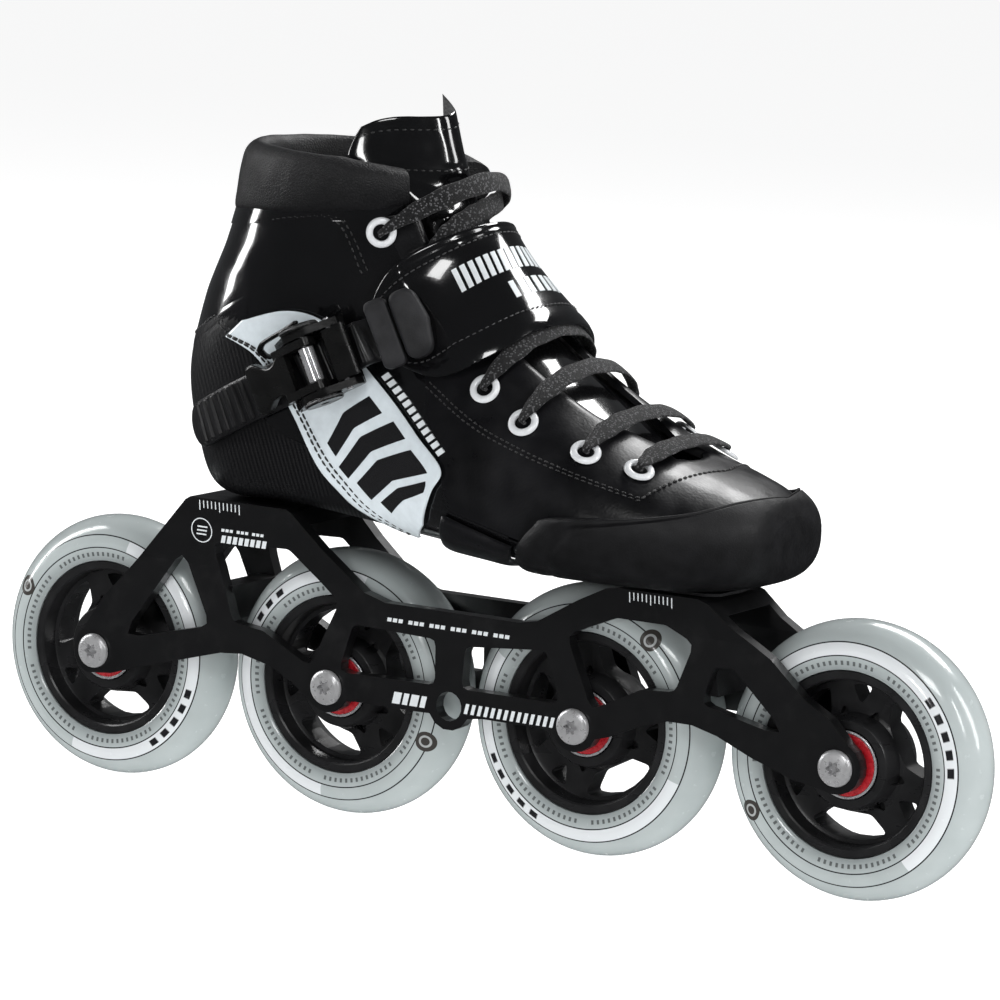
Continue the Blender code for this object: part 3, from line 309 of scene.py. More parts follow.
def nylon_finish(name, colour, rough):
    """Injection-moulded plastic: slight flow marks and a fine matt grain."""
    f = Finish(name, colour, rough, coat=0.1, coat_rough=0.15, shine=0.4)
    f.vary(90, 0.35)
    flow = f.noise(60, 5, vector=f.shift(f.coords(), scale=(1, 1, 3)))
    f.rough(f.ramp(flow, 0.3, 0.7, rough - 0.07, rough + 0.1))
    f.bump(f.noise(2400, 3), 0.05, 0.5)
    return f.bump(flow, 0.3, 0.15).mat


def anodised_finish():
    """Bead-blasted, black-anodised aluminium, rubbed bright in random places."""
    f = Finish("anodised_frame", (0.012, 0.012, 0.013), 0.36, metal=0.35, coat=0.5,
               coat_rough=0.18)
    grain = f.noise(3200, 3)
    wear = f.ramp(f.noise(45, 6, roughness=0.7), 0.55, 0.8)
    f.colour(f.mix(wear, (0.009, 0.009, 0.01), (0.02, 0.02, 0.021)))
    f.worn(180, 5, 0.3, 0.44)
    f.bump(grain, 0.07, 0.6)
    return f.bump(f.noise(30, 2), 0.3, 0.15).mat


def steel_finish(name, colour, rough, shiny, turned=False):
    """Bare metal with turning marks or a brushed grain and faint stains."""
    f = Finish(name, colour, rough, metal=shiny)
    f.vary(260, 0.12)
    if turned:
        x, _, z = f.split(wheel_place(f))
        radius = f.length(x, z)
        rings = f.math("PINGPONG", f.times(radius, 4200.0), 1.0)
        f.bump(rings, 0.04, 0.4)
    f.worn(500, 4, rough * 0.75, rough * 1.4)
    return f.bump(f.noise(1900, 3), 0.04, 0.4).mat


def wheel_place(f):
    """Coordinates measured from the nearest axle, in metres."""
    x, y, z = f.split(f.coords())
    made = f.node("CombineXYZ")
    off_axle = f.math("WRAP", f.plus(x, PITCH / 2), PITCH / 2, -PITCH / 2)
    f.feed(made.inputs[0], off_axle)
    f.feed(made.inputs[1], y)
    f.feed(made.inputs[2], f.minus(z, WHEEL_RADIUS * MM))
    return made.outputs[0]


def polar_place(f, start):
    """(radius in metres, angle in turns) about the object's own Y axis."""
    x, _, z = f.split(f.shift(f.coords(), turn=(0.0, math.radians(start), 0.0)))
    radius = f.length(x, z)
    turn = f.math("DIVIDE", f.math("ARCTAN2", z, x), 2 * math.pi)
    return radius, f.plus(turn, 0.5)


def between_edges(f, value, low, high, soft):
    """1 where value lies between low and high, with soft edges."""
    up = f.ramp(value, low - soft, low + soft)
    down = f.ramp(value, high - soft, high + soft, 1.0, 0.0)
    return f.times(up, down)


BAND = (0.0349, 0.0388)
LINE = 0.0004
TICK_ROW = (0.0317, 0.0331)
BLOCK_ROW = (0.0358, 0.0379)
DISC_RADIUS = 0.0034
DISC_RING = (0.0014, 0.0021)
DISC_PLACE = 0.038
DISC_TURN = 0.21
CRISP = 0.00006


def urethane_finish(name, start):
    """Pale cast urethane, its side printed with rings, a half band, ticks, blocks and a disc.

    Radii are metres from the axle, and places round the tyre are turns."""
    f = Finish(name, (0.5, 0.55, 0.55), 0.2, coat=0.5, coat_rough=0.06, subsurface=0.3)
    radius, turn = polar_place(f, start)
    cloudy = f.noise(45, 3)
    body = f.mix(f.ramp(cloudy, 0.3, 0.7), (0.47, 0.52, 0.52), (0.55, 0.6, 0.6))
    near_hub = f.ramp(radius, 0.0302, 0.0345, 0.55, 0.0)
    body = f.mix(near_hub, body, (0.2, 0.22, 0.225))
    low, high = BAND
    band = between_edges(f, radius, low, high, CRISP)
    half_turn = f.ramp(turn, 0.48, 0.4805)
    body = f.mix(f.times(band, half_turn), body, (0.82, 0.85, 0.87))
    lines = f.plus(between_edges(f, radius, low - LINE, low, 0.00004),
                   between_edges(f, radius, high, high + LINE, 0.00004))
    body = f.mix(f.math("MINIMUM", lines, 1.0), body, (0.02, 0.02, 0.022))
    beat = f.math("FRACT", f.times(turn, 96.0))
    gaps = f.ramp(f.math("FRACT", f.times(turn, 6.0)), 0.86, 0.865, 1.0, 0.0)
    ticks = f.times(between_edges(f, beat, 0.2, 0.62, 0.05), gaps)
    row = between_edges(f, radius, *TICK_ROW, CRISP)
    body = f.mix(f.times(f.times(ticks, row), 0.75), body, (0.03, 0.03, 0.032))
    wide = f.math("FRACT", f.times(turn, 40.0))
    blocks = f.times(between_edges(f, wide, 0.15, 0.7, 0.04),
                     between_edges(f, turn, 0.62, 0.745, 0.0005))
    row = between_edges(f, radius, *BLOCK_ROW, CRISP)
    body = f.mix(f.times(blocks, row), body, (0.015, 0.015, 0.017))
    along = f.times(f.minus(turn, DISC_TURN), 2 * math.pi * DISC_PLACE)
    outward = f.minus(radius, DISC_PLACE)
    reach = f.length(along, outward)
    body = f.mix(f.ramp(reach, DISC_RADIUS, DISC_RADIUS + 0.0001, 1.0, 0.0), body,
                 (0.06, 0.055, 0.05))
    ring = f.times(between_edges(f, reach, *DISC_RING, CRISP), 0.9)
    f.colour(f.mix(ring, body, (0.5, 0.52, 0.52)))
    f.worn(300, 4, 0.14, 0.28)
    return f.bump(f.noise(500, 3), 0.05, 0.4).mat


SHIELD = (0.0074, 0.0101)
SHIELD_GROOVE = 0.0098


def bearing_finish():
    """Black bearing face with a red shield, grooved round its outer edge."""
    f = Finish("bearing_shield", (0.55, 0.02, 0.03), 0.3, coat=0.3, coat_rough=0.1)
    x, _, z = f.split(wheel_place(f))
    radius = f.length(x, z)
    red = between_edges(f, radius, *SHIELD, 0.00004)
    scuff = f.mix(f.ramp(f.noise(700, 4), 0.35, 0.7), (0.42, 0.01, 0.018), (0.6, 0.025, 0.035))
    f.colour(f.mix(red, (0.012, 0.012, 0.013), scuff))
    f.worn(900, 3, 0.2, 0.38)
    groove = between_edges(f, radius, SHIELD_GROOVE, SHIELD[1], 0.0001)
    return f.bump(f.minus(1.0, groove), 0.25, 0.8).mat


def lace_finish():
    """Flat braid of black and grey yarns with pale flecks."""
    f = Finish("heather_braid", (0.03, 0.03, 0.033), 0.85, sheen=0.1)
    u, v, _ = f.split(f.coords("UV"))
    ahead = f.times(u, 1.6)
    v = f.times(v, 1.6)
    a = f.plus(ahead, v)
    b = f.minus(ahead, v)
    one = f.math("PINGPONG", a, 0.5)
    two = f.math("PINGPONG", b, 0.5)
    plait = f.math("MAXIMUM", one, two)
    made = f.node("CombineXYZ")
    f.feed(made.inputs[0], f.math("FLOOR", a))
    f.feed(made.inputs[1], f.math("FLOOR", b))
    pick = f.node("TexWhiteNoise", noise_dimensions="3D")
    f.feed(pick.inputs["Vector"], made.outputs[0])
    fleck = f.ramp(pick.outputs["Value"], 0.8, 0.84)
    mid = f.ramp(pick.outputs["Value"], 0.36, 0.4)
    tone = f.mix(mid, (0.003, 0.003, 0.004), (0.009, 0.009, 0.01))
    tone = f.mix(fleck, tone, (0.11, 0.11, 0.115))
    f.colour(f.mix(f.ramp(plait, 0.0, 0.3), (0.004, 0.004, 0.004), tone))
    f.bump(plait, 0.45, 0.9)
    return f.bump(f.noise(5200, 2), 0.1, 0.5).mat


def cloth_finish(name, colour, scale):
    """Plain woven lining."""
    f = Finish(name, colour, 0.85, sheen=0.3)
    x, y, z = f.split(f.coords())
    warp = f.math("SINE", f.times(f.plus(x, y), scale * 6.28))
    weft = f.math("SINE", f.times(z, scale * 6.28))
    knit = f.times(warp, weft)
    dark = tuple(c * 0.5 for c in colour)
    f.colour(f.mix(f.ramp(knit, -0.4, 0.6), dark, colour))
    f.worn(300, 3, 0.75, 0.92)
    f.bump(knit, 0.18, 0.7)
    return f.bump(f.noise(150, 3), 0.5, 0.3).mat


def paint_finish(name, colour, rough, coat=0.2):
    """Printed or enamelled layer, a little uneven."""
    f = Finish(name, colour, rough, coat=coat, coat_rough=0.08)
    f.vary(350, 0.05, 4.0)
    f.worn(420, 4, rough * 0.7, rough * 1.3)
    return f.bump(f.noise(900, 3), 0.05, 0.3).mat


def thread_finish(name, colour):
    """Twisted sewing thread."""
    f = Finish(name, colour, 0.55, sheen=0.3)
    x, y, z = f.split(f.coords())
    twist = f.plus(f.plus(x, f.times(y, 0.7)), z)
    ply = f.math("SINE", f.times(twist, 14000.0))
    f.colour(f.mix(f.ramp(ply, -1, 1), tuple(c * 0.45 for c in colour), colour))
    f.worn(900, 2, 0.45, 0.65)
    return f.bump(ply, 0.08, 0.6).mat


def floor_finish():
    f = Finish("studio_floor", (0.5, 0.5, 0.5), 0.9)
    f.shader.inputs["Emission Color"].default_value = (1.0, 1.0, 1.0, 1.0)
    f.shader.inputs["Emission Strength"].default_value = 0.9
    f.shader.inputs["Specular IOR Level"].default_value = 0.0
    f.colour(f.mix(f.noise(2, 1), (0.49, 0.49, 0.49), (0.51, 0.51, 0.51)))
    return f.mat


# ---------------------------------------------------------------- the boot's own surface

# Slices from toe to collar: top x, top z, bottom x, bottom z, outer half width, inner half
# width, sideways shift, share of the height where it is widest, roundness above it and below.
STATIONS = np.array([
    (110.0, 114.0, 110.0, 107.0, 9.0, 9.0, 6.0, 0.50, 2.0, 2.0),
    (108.5, 121.0, 108.5, 101.0, 22.0, 20.0, 5.5, 0.48, 2.2, 2.6),
    (102.0, 126.0, 102.0, 98.0, 32.0, 28.0, 4.5, 0.45, 2.2, 2.8),
    (90.0, 130.5, 90.0, 97.0, 40.5, 36.5, 3.0, 0.42, 2.2, 3.2),
    (73.0, 136.5, 70.0, 97.0, 46.0, 42.0, 1.5, 0.40, 2.2, 3.4),
    (53.0, 147.5, 44.0, 97.0, 46.0, 43.5, 0.0, 0.38, 2.2, 3.4),
    (34.5, 160.0, 18.0, 98.0, 42.0, 40.0, 0.0, 0.38, 2.2, 3.2),
    (21.0, 172.0, -10.0, 99.5, 38.5, 36.0, 0.0, 0.40, 2.2, 3.0),
    (11.0, 181.5, -40.0, 102.0, 34.5, 33.5, 0.0, 0.42, 2.2, 3.0),
    (4.0, 189.5, -68.0, 104.0, 33.5, 32.5, 0.0, 0.46, 2.1, 3.0),
    (-1.0, 196.0, -97.0, 104.5, 34.0, 33.0, 0.0, 0.50, 2.1, 2.5),
    (-4.0, 201.5, -108.5, 120.0, 35.5, 34.0, 0.0, 0.52, 2.1, 2.1),
    (-6.0, 206.0, -113.0, 143.0, 37.0, 36.0, 0.0, 0.52, 2.1, 2.0),
    (-8.0, 210.5, -107.5, 168.0, 37.5, 36.5, 0.0, 0.52, 2.1, 2.0),
    (-9.5, 214.0, -98.5, 190.0, 38.0, 37.0, 0.0, 0.52, 2.1, 2.0),
    (-10.5, 216.5, -93.0, 207.0, 38.0, 37.0, 0.0, 0.52, 2.1, 2.0),
    (-11.0, 218.0, -91.0, 221.0, 37.5, 36.5, 0.0, 0.52, 2.1, 2.0),
])
LAST = len(STATIONS) - 1.0
WALL = 3.0


def unit(vectors):
    """Vectors scaled to a length of one."""
    return vectors / np.linalg.norm(vectors, axis=-1, keepdims=True)


def cubic(p0, p1, p2, p3, f):
    """Smooth curve through p1 and p2, a share f of the way between them."""
    return 0.5 * (2 * p1 + (p2 - p0) * f + (2 * p0 - 5 * p1 + 4 * p2 - p3) * f ** 2
                  + (3 * p1 - p0 - 3 * p2 + p3) * f ** 3)


def run_along(path):
    """Distance from the start of a path at each of its points."""
    return np.concatenate([[0.0], np.cumsum(np.linalg.norm(np.diff(path, axis=0), axis=1))])


def resample(points, count, wrap=False, smooth=True):
    """Points spaced evenly per span along a chain of points or of rows."""
    points = np.asarray(points, float)
    n = len(points)
    spans = n if wrap else n - 1
    t = np.linspace(0, spans, count, endpoint=not wrap)
    i = np.minimum(t.astype(int), spans - 1)
    f = (t - i).reshape((-1,) + (1,) * (points.ndim - 1))

    def pick(k):
        return points[k % n] if wrap else points[np.clip(k, 0, n - 1)]
    if not smooth:
        return pick(i) * (1 - f) + pick(i + 1) * f
    return cubic(pick(i - 1), pick(i), pick(i + 1), pick(i + 2), f)


def refine(grid, rows, cols, wrap_cols=False, smooth=True):
    """Grid of points resampled both ways."""
    grid = resample(grid, rows, smooth=smooth)
    return np.swapaxes(resample(np.swapaxes(grid, 0, 1), cols, wrap_cols, smooth), 0, 1)


def slices(u):
    """Rows of STATIONS between its own, by a smooth curve."""
    u = np.clip(u, 0.0, LAST)
    i = np.minimum(u.astype(int), int(LAST) - 1)
    f = (u - i)[..., None]
    s = STATIONS
    top = int(LAST)
    return cubic(s[np.maximum(i - 1, 0)], s[i], s[i + 1], s[np.minimum(i + 2, top)], f)


def skin(u, v, out=0.0):
    """Points on the boot.  u runs toe to collar, v is 0 on the instep, negative on the
    outer side and +-1 under the foot or behind the heel; out is measured off the leather."""
    u, v, out = np.broadcast_arrays(np.asarray(u, float), np.asarray(v, float),
                                    np.asarray(out, float))
    v = np.where(v > 1.0, v - 2.0, v)
    s = slices(u)
    top = s[..., 0:2]
    low = s[..., 2:4]
    along = unit(top - low)
    top = top + along * out[..., None]
    low = low - along * out[..., None]
    turn = v * math.pi
    cos = np.cos(turn)
    power = 2.0 / np.where(cos >= 0, s[..., 8], s[..., 9])
    side = np.copysign(np.abs(np.sin(turn)) ** power, turn)
    width = np.where(v < 0, s[..., 4], s[..., 5]) + out
    wide = s[..., 7]
    lift = np.abs(cos) ** power
    height = np.where(cos >= 0, wide + (1 - wide) * lift, wide - wide * lift)
    xz = low + (top - low) * height[..., None]
    x = xz[..., 0] + out * np.maximum(0.0, 1.0 - u / 2.0)
    return np.stack([x, s[..., 6] + width * side, xz[..., 1]], axis=-1)


def facing(u, v):
    """Unit outward directions of the boot surface."""
    u, v = np.broadcast_arrays(np.asarray(u, float), np.asarray(v, float))
    e = 0.02
    du = skin(np.minimum(u + e, LAST), v) - skin(np.maximum(u - e, 0), v)
    dv = skin(u, v + e) - skin(u, v - e)
    n = np.cross(du, dv)
    n /= np.maximum(np.linalg.norm(n, axis=-1, keepdims=True), 1e-9)
    s = slices(u)
    core = np.stack([(s[..., 0] + s[..., 2]) / 2, np.zeros(u.shape),
                     (s[..., 1] + s[..., 3]) / 2], axis=-1)
    flip = np.sign(np.sum(n * (skin(u, v) - core), axis=-1))
    return n * np.where(flip == 0, 1.0, flip)[..., None]


def side_place(x, z, out=0.0):
    """(u, |v|) of the places whose side view is x, z: the slice through each place is found
    by halving the span of u in which it changes sides."""
    x, z = np.broadcast_arrays(np.asarray(x, float), np.asarray(z, float))

    def ends(u):
        s = slices(u)
        top, low = s[..., 0:2], s[..., 2:4]
        along = unit(top - low)
        return top + along * out, low - along * out, s

    def miss(u):
        top, low, _ = ends(u)
        return ((top[..., 0] - low[..., 0]) * (z - low[..., 1])
                - (top[..., 1] - low[..., 1]) * (x - low[..., 0]))
    tries = 97
    steps = np.linspace(0.6, LAST, tries)
    values = np.stack([miss(np.full(x.shape, s)) for s in steps])
    change = (values[:-1] * values[1:]) <= 0
    first_index = np.argmax(change, axis=0)
    first = steps[first_index]
    last = steps[np.minimum(first_index + 1, tries - 1)]
    for _ in range(30):
        mid = (first + last) / 2
        keep = miss(first) * miss(mid) <= 0
        last = np.where(keep, mid, last)
        first = np.where(keep, first, mid)
    top, low, s = ends(first)
    run = top - low
    height = np.clip(np.sum(run * (np.stack([x, z], -1) - low), -1) / np.sum(run * run, -1), 0, 1)
    wide = s[..., 7]
    over = np.clip((height - wide) / (1 - wide), 0, 1) ** (s[..., 8] / 2)
    under = -np.clip((wide - height) / wide, 0, 1) ** (s[..., 9] / 2)
    cos = np.where(height >= wide, over, under)
    return first, np.arccos(np.clip(cos, -1, 1)) / math.pi


# ---------------------------------------------------------------- mesh helpers

def mend_normals(mesh):
    work = bmesh.new()
    work.from_mesh(mesh)
    bmesh.ops.recalc_face_normals(work, faces=work.faces)
    work.to_mesh(mesh)
    work.free()


def shade_smooth(mesh, sharp):
    """Smooth shading, apart from edges sharper than an angle in degrees."""
    mesh.polygons.foreach_set("use_smooth", [True] * len(mesh.polygons))
    if sharp:
        mesh.set_sharp_from_angle(angle=math.radians(sharp))


def new_piece(name, verts, faces, mats, body="skate", smooth=True, sharp=40.0, uv=None,
              face_mats=None):
    """One mesh object from points in millimetres that rides on a CAD body."""
    mesh = bpy.data.meshes.new(name)
    mesh.from_pydata((np.asarray(verts, float) * MM).tolist(), [], faces)
    if uv is not None:
        layer = mesh.uv_layers.new(name="UVMap")
        loops = np.zeros(len(mesh.loops), int)
        mesh.loops.foreach_get("vertex_index", loops)
        layer.data.foreach_set("uv", np.asarray(uv, float)[loops].ravel())
    for mat in (mats if isinstance(mats, (list, tuple)) else [mats]):
        mesh.materials.append(mat)
    if face_mats is not None:
        mesh.polygons.foreach_set("material_index", face_mats)
    mend_normals(mesh)
    obj = link(name, mesh)
    if smooth:
        shade_smooth(mesh, sharp)
    else:
        mesh.polygons.foreach_set("use_smooth", [False] * len(mesh.polygons))
    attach(obj, body)
    return obj


def grid_faces(rows, cols, wrap_rows=False, wrap_cols=False, start=0):
    """Four-sided faces of a grid of points numbered row by row."""
    faces = []
    for i in range(rows if wrap_rows else rows - 1):
        a = start + i * cols
        b = start + ((i + 1) % rows) * cols
        for j in range(cols if wrap_cols else cols - 1):
            k = (j + 1) % cols
            faces.append((a + j, a + k, b + k, b + j))
    return faces


def tube_faces(rows, cols):
    """Faces of a closed tube of rings, with a flat end on each side."""
    faces = grid_faces(rows, cols, wrap_cols=True)
    faces.append(list(range(cols)))
    faces.append([(rows - 1) * cols + j for j in reversed(range(cols))])
    return faces


def between(low, high, cols):
    """Rows of points from each place on one line to its partner on another."""
    t = np.linspace(0, 1, cols)[None, :, None]
    return low[:, None] * (1 - t) + high[:, None] * t


def on_sheet(low, high, t, s):
    """Flat place on a sheet: t runs along its two edge lines, s from one to the other."""
    count = 200
    i = np.clip(np.asarray(t, float), 0, 1) * (count - 1)
    a, b = (np.stack([np.interp(i, range(count), line[:, k]) for k in (0, 1)], -1)
            for line in (resample(low, count), resample(high, count)))
    s = np.asarray(s, float)[..., None]
    return a * (1 - s) + b * s


def sheet_solid(name, outer, inner, mats, wrap=False, inner_mat=0, sharp=40.0):
    """Closed body between an outer and an inner grid of points."""
    rows, cols = outer.shape[:2]
    half = rows * cols
    verts = np.concatenate([outer.reshape(-1, 3), inner.reshape(-1, 3)])
    front = grid_faces(rows, cols, wrap)
    faces = front + [tuple(half + i for i in reversed(f)) for f in front]
    kinds = [0] * len(front) + [inner_mat] * len(front)
    rim = len(faces)
    for i in range(rows if wrap else rows - 1):
        a = i * cols
        b = ((i + 1) % rows) * cols
        faces.append((a, b, half + b, half + a))
        faces.append((b + cols - 1, a + cols - 1, half + a + cols - 1, half + b + cols - 1))
    if not wrap:
        end = (rows - 1) * cols
        for j in range(cols - 1):
            faces.append((j + 1, j, half + j, half + j + 1))
            faces.append((end + j, end + j + 1, half + end + j + 1, half + end + j))
    kinds += [0] * (len(faces) - rim)
    return new_piece(name, verts, faces, mats, face_mats=kinds, sharp=sharp)


def printed_marks(name, sheets, mat):
    """Several thin printed marks as one piece, from (u, v, outer, inner) grids."""
    verts, faces = [], []
    for u, v, outer, inner in sheets:
        rows, cols = u.shape
        start = len(verts)
        half = rows * cols
        verts += skin(u, v, outer).reshape(-1, 3).tolist()
        verts += skin(u, v, inner).reshape(-1, 3).tolist()
        front = grid_faces(rows, cols, start=start)
        faces += front + [tuple(half + i for i in reversed(f)) for f in front]
        edge = list(range(cols)) + [i * cols + cols - 1 for i in range(1, rows)]
        edge += [half - 1 - j for j in range(1, cols)] + [i * cols for i in
                                                         range(rows - 2, 0, -1)]
        for a, b in zip(edge, edge[1:] + edge[:1]):
            faces.append((start + b, start + a, start + half + a, start + half + b))
    return new_piece(name, verts, faces, mat)


def skin_sheet(name, u, v, outer, inner, mats, wrap=False, inner_mat=0):
    """Closed layer between two distances off the boot surface."""
    return sheet_solid(name, skin(u, v, outer), skin(u, v, inner), mats, wrap, inner_mat)


def soft_edge(rows, cols, reach, drop):
    """Offsets that round a sheet's rim off: 0 inside, -drop on the rim itself."""
    i = np.arange(rows, dtype=float)
    j = np.arange(cols, dtype=float)
    away = np.minimum(np.minimum(j, cols - 1 - j)[None, :], np.minimum(i, rows - 1 - i)[:, None])
    t = np.clip(1.0 - away / reach, 0.0, 1.0)
    return -drop * (1.0 - np.sqrt(1.0 - t ** 2))


def ripple(points, scale, amount, seed=0.0):
    """Noise in millimetres at each point."""
    flat = points.reshape(-1, 3) / scale
    values = [noise.noise(Vector((p[0] + seed, p[1], p[2]))) for p in flat]
    return np.array(values).reshape(points.shape[:-1]) * amount


def even_path(points, pitch):
    """Points at an even spacing along a dense path, with their directions."""
    length = run_along(points)
    count = max(2, int(round(length[-1] / pitch)))
    at = np.linspace(0, length[-1], count)
    places = np.stack([np.interp(at, length, points[:, k]) for k in range(3)], 1)
    return places, unit(np.gradient(places, axis=0))


STITCH_ROWS = 200


def stitches(name, u, v, out, mat, pitch, length, radius):
    """Row of thread stitches on the boot surface, each a small rounded bar sunk at its ends."""
    dense_u = resample(u, STITCH_ROWS)
    dense_v = resample(v, STITCH_ROWS)
    ups = facing(dense_u, dense_v)
    path = skin(dense_u, dense_v) + ups * np.asarray(out)
    places, ways = even_path(path, pitch)
    nearest = np.linalg.norm(path[None] - places[:, None], axis=2).argmin(1)
    return stitch_bars(name, places, ways, ups[nearest], mat, length, radius)


def stitch_bars(name, places, ways, ups, mat, length, radius):
    """Small bars along the given directions; each row below is a ring of one bar, by its
    place along it, girth and height."""
    verts = []
    faces = []
    ring = 6
    for place, way, up in zip(places, ways, ups):
        side = unit(np.cross(up, way))
        start = len(verts)
        for along, wide, sink in ((-0.5, 0.35, -0.75), (-0.36, 0.9, -0.15), (0.0, 1.0, 0.25),
                                  (0.36, 0.9, -0.15), (0.5, 0.35, -0.75)):
            middle = place + way * length * along + up * radius * sink
            for k in range(ring):
                a = 2 * math.pi * k / ring
                verts.append(middle + (side * math.cos(a) + up * math.sin(a)) * radius * wide)
        faces += grid_faces(5, ring, wrap_cols=True, start=start)
        faces.append([start + k for k in reversed(range(ring))])
        faces.append([start + 4 * ring + k for k in range(ring)])
    return new_piece(name, verts, faces, mat, sharp=None)


def side_line(points, side):
    """(u, v) along a smooth line drawn in side view."""
    line = resample(points, 40)
    u, v = side_place(line[:, 0], line[:, 1])
    return u, side * v


def lathe(name, profile, centre, segments, mat, body, sharp=35.0):
    """Ring turned about an axle from (radius, y) points; the object sits on the axle."""
    verts = []
    for k in range(segments):
        a = 2 * math.pi * k / segments
        for radius, y in profile:
            verts.append((radius * math.sin(a), y, -radius * math.cos(a)))
    faces = grid_faces(segments, len(profile), True, True)
    obj = new_piece(name, verts, faces, mat, body, sharp=sharp)
    obj.matrix_world = Matrix.Translation(Vector(centre) * MM)
    bpy.context.view_layer.update()
    return obj


def add_bevel(obj, width, segments=2, angle=35.0):
    """Round the edges sharper than an angle off; the width is in millimetres."""
    bevel = obj.modifiers.new("edge", "BEVEL")
    bevel.width = width * MM
    bevel.segments = segments
    bevel.limit_method = "ANGLE"
    bevel.angle_limit = math.radians(angle)
    bevel.use_clamp_overlap = True
    bevel.harden_normals = False


def finish_node(name, mat, bevel=0.0, smooth_angle=35.0):
    """Give a CAD node its finish, and break its edges with a small bevel."""
    obj = NODES[name]
    obj.data.materials.clear()
    obj.data.materials.append(mat)
    shade_smooth(obj.data, smooth_angle)
    if bevel:
        add_bevel(obj, bevel)


# ---------------------------------------------------------------- materials in use

PATENT = patent_finish()
SATIN = satin_finish()
GRAIN = grain_finish()
TWILL = twill_finish()
BUMPER = rubber_finish("toe_rubber", (0.007, 0.007, 0.008), 0.48)
COVER = rubber_finish("cover_rubber", (0.022, 0.022, 0.024), 0.5)
NYLON = nylon_finish("black_nylon_grain", (0.006, 0.006, 0.006), 0.24)
STRAP_NYLON = nylon_finish("strap_nylon", (0.007, 0.007, 0.008), 0.36)
HUB = nylon_finish("hub_plastic", (0.016, 0.016, 0.017), 0.3)
ANODISED = anodised_finish()
STEEL = steel_finish("bolt_steel", (0.62, 0.62, 0.63), 0.3, turned=True, shiny=0.55)
RACE_STEEL = steel_finish("race_steel", (0.6, 0.6, 0.62), 0.25, shiny=0.6)
CHROME = steel_finish("pin_chrome", (0.7, 0.7, 0.72), 0.14, shiny=0.75)
RIM = steel_finish("rim_steel", (0.16, 0.16, 0.165), 0.3, shiny=0.6)
BEARING = bearing_finish()
LACE = lace_finish()
LINING = cloth_finish("boot_lining", (0.03, 0.03, 0.032), 700.0)
INSOLE = cloth_finish("insole_weave", (0.05, 0.05, 0.055), 500.0)
WHITE_PATENT = paint_finish("white_patent_gloss", (0.72, 0.79, 0.83), 0.16, 1.0)
ENAMEL = paint_finish("white_enamel_coat", (0.82, 0.84, 0.86), 0.25, 0.8)
WHITE_INK = paint_finish("white_ink", (0.78, 0.82, 0.84), 0.35)
BLACK_INK = paint_finish("black_ink", (0.01, 0.01, 0.011), 0.2, 0.8)
BLACK_THREAD = thread_finish("black_thread", (0.014, 0.014, 0.015))
GREY_THREAD = thread_finish("dark_grey_thread", (0.05, 0.05, 0.053))


# ---------------------------------------------------------------- wheels

AXLES = [AXLE_SPAN * (i / 3.0 - 0.5) for i in range(4)]
TURNS = [34.0, 12.0, 58.0, 27.0]
PRINT_TURNS = [257.0, 82.0, 157.0, 315.0]
TYRE_SIDES = 120
RACES = {"outer": (10.15, 10.95), "inner": (5.0, 6.0)}
RACE_FACE = 11.03
RACE_BACK = 10.8


def tyre_profile():
    """Tread and side walls of the 90 mm wheel, as (radius, y), round the closed section."""
    points = [(30.1, -10.55), (30.6, -10.85), (31.6, -11.1)]
    for k in range(37):
        t = math.radians(-78 + 156 * k / 36)
        points.append((33.0 + 12.0 * math.cos(t) ** 0.9, 11.95 * math.sin(t)))
    points += [(31.6, 11.1), (30.6, 10.85), (30.1, 10.55)]
    return points


def make_wheels():
    """Tyres, hubs, bearings, races and axle bolts."""
    hub_mesh = None
    for i, x in enumerate(AXLES):
        body = "wheel_%d" % (i + 1)
        printed = urethane_finish("pale_urethane_%d" % (i + 1), PRINT_TURNS[i])
        tyre = lathe(body + "_tyre_detail", tyre_profile(), (x, 0, WHEEL_RADIUS), TYRE_SIDES,
                     printed, body, sharp=50)
        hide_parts(body + "_tyre")
        if hub_mesh is None:
            hub_mesh = hub_body()
        turned = hub_mesh.copy()
        turned.transform(Matrix.Rotation(math.radians(-TURNS[i]), 4, "Y"))
        hub = link(body + "_hub_detail", turned)
        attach(hub, body)
        hub.matrix_world = Matrix.Translation(Vector((x, 0, WHEEL_RADIUS)) * MM)
        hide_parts(body + "_hub")
        add_bevel(hub, 0.55, 3, 30)
        for side in ("right", "left"):
            finish_node("%s_bearing_%s" % (body, side), BEARING)
        make_axle(body + "_axle", x)
        make_race(body, x)


def make_race(body, x):
    """Steel outer and inner races standing a little proud of each bearing's shield."""
    for side in (-1, 1):
        face = side * RACE_FACE
        back = side * RACE_BACK
        for label, (r0, r1) in RACES.items():
            profile = [(r0, back), (r0, face), (r0 + 0.15, face + side * 0.12),
                       (r1 - 0.2, face + side * 0.12), (r1, face), (r1, back)]
            name = "%s_%s_race_%s" % (body, label, "left" if side > 0 else "right")
            ring = lathe(name, profile, (x, 0, WHEEL_RADIUS), 40, RACE_STEEL, body)


def cut_with(target, cutters):
    """Boolean difference, applied."""
    for cutter in cutters:
        cut = target.modifiers.new("cut", "BOOLEAN")
        cut.operation = "DIFFERENCE"
        cut.solver = "EXACT"
        cut.object = cutter
    bpy.context.view_layer.update()
    ready = target.evaluated_get(bpy.context.evaluated_depsgraph_get())
    mesh = bpy.data.meshes.new_from_object(ready)
    target.modifiers.clear()
    target.data = mesh
    for cutter in cutters:
        bpy.data.objects.remove(cutter, do_unlink=True)


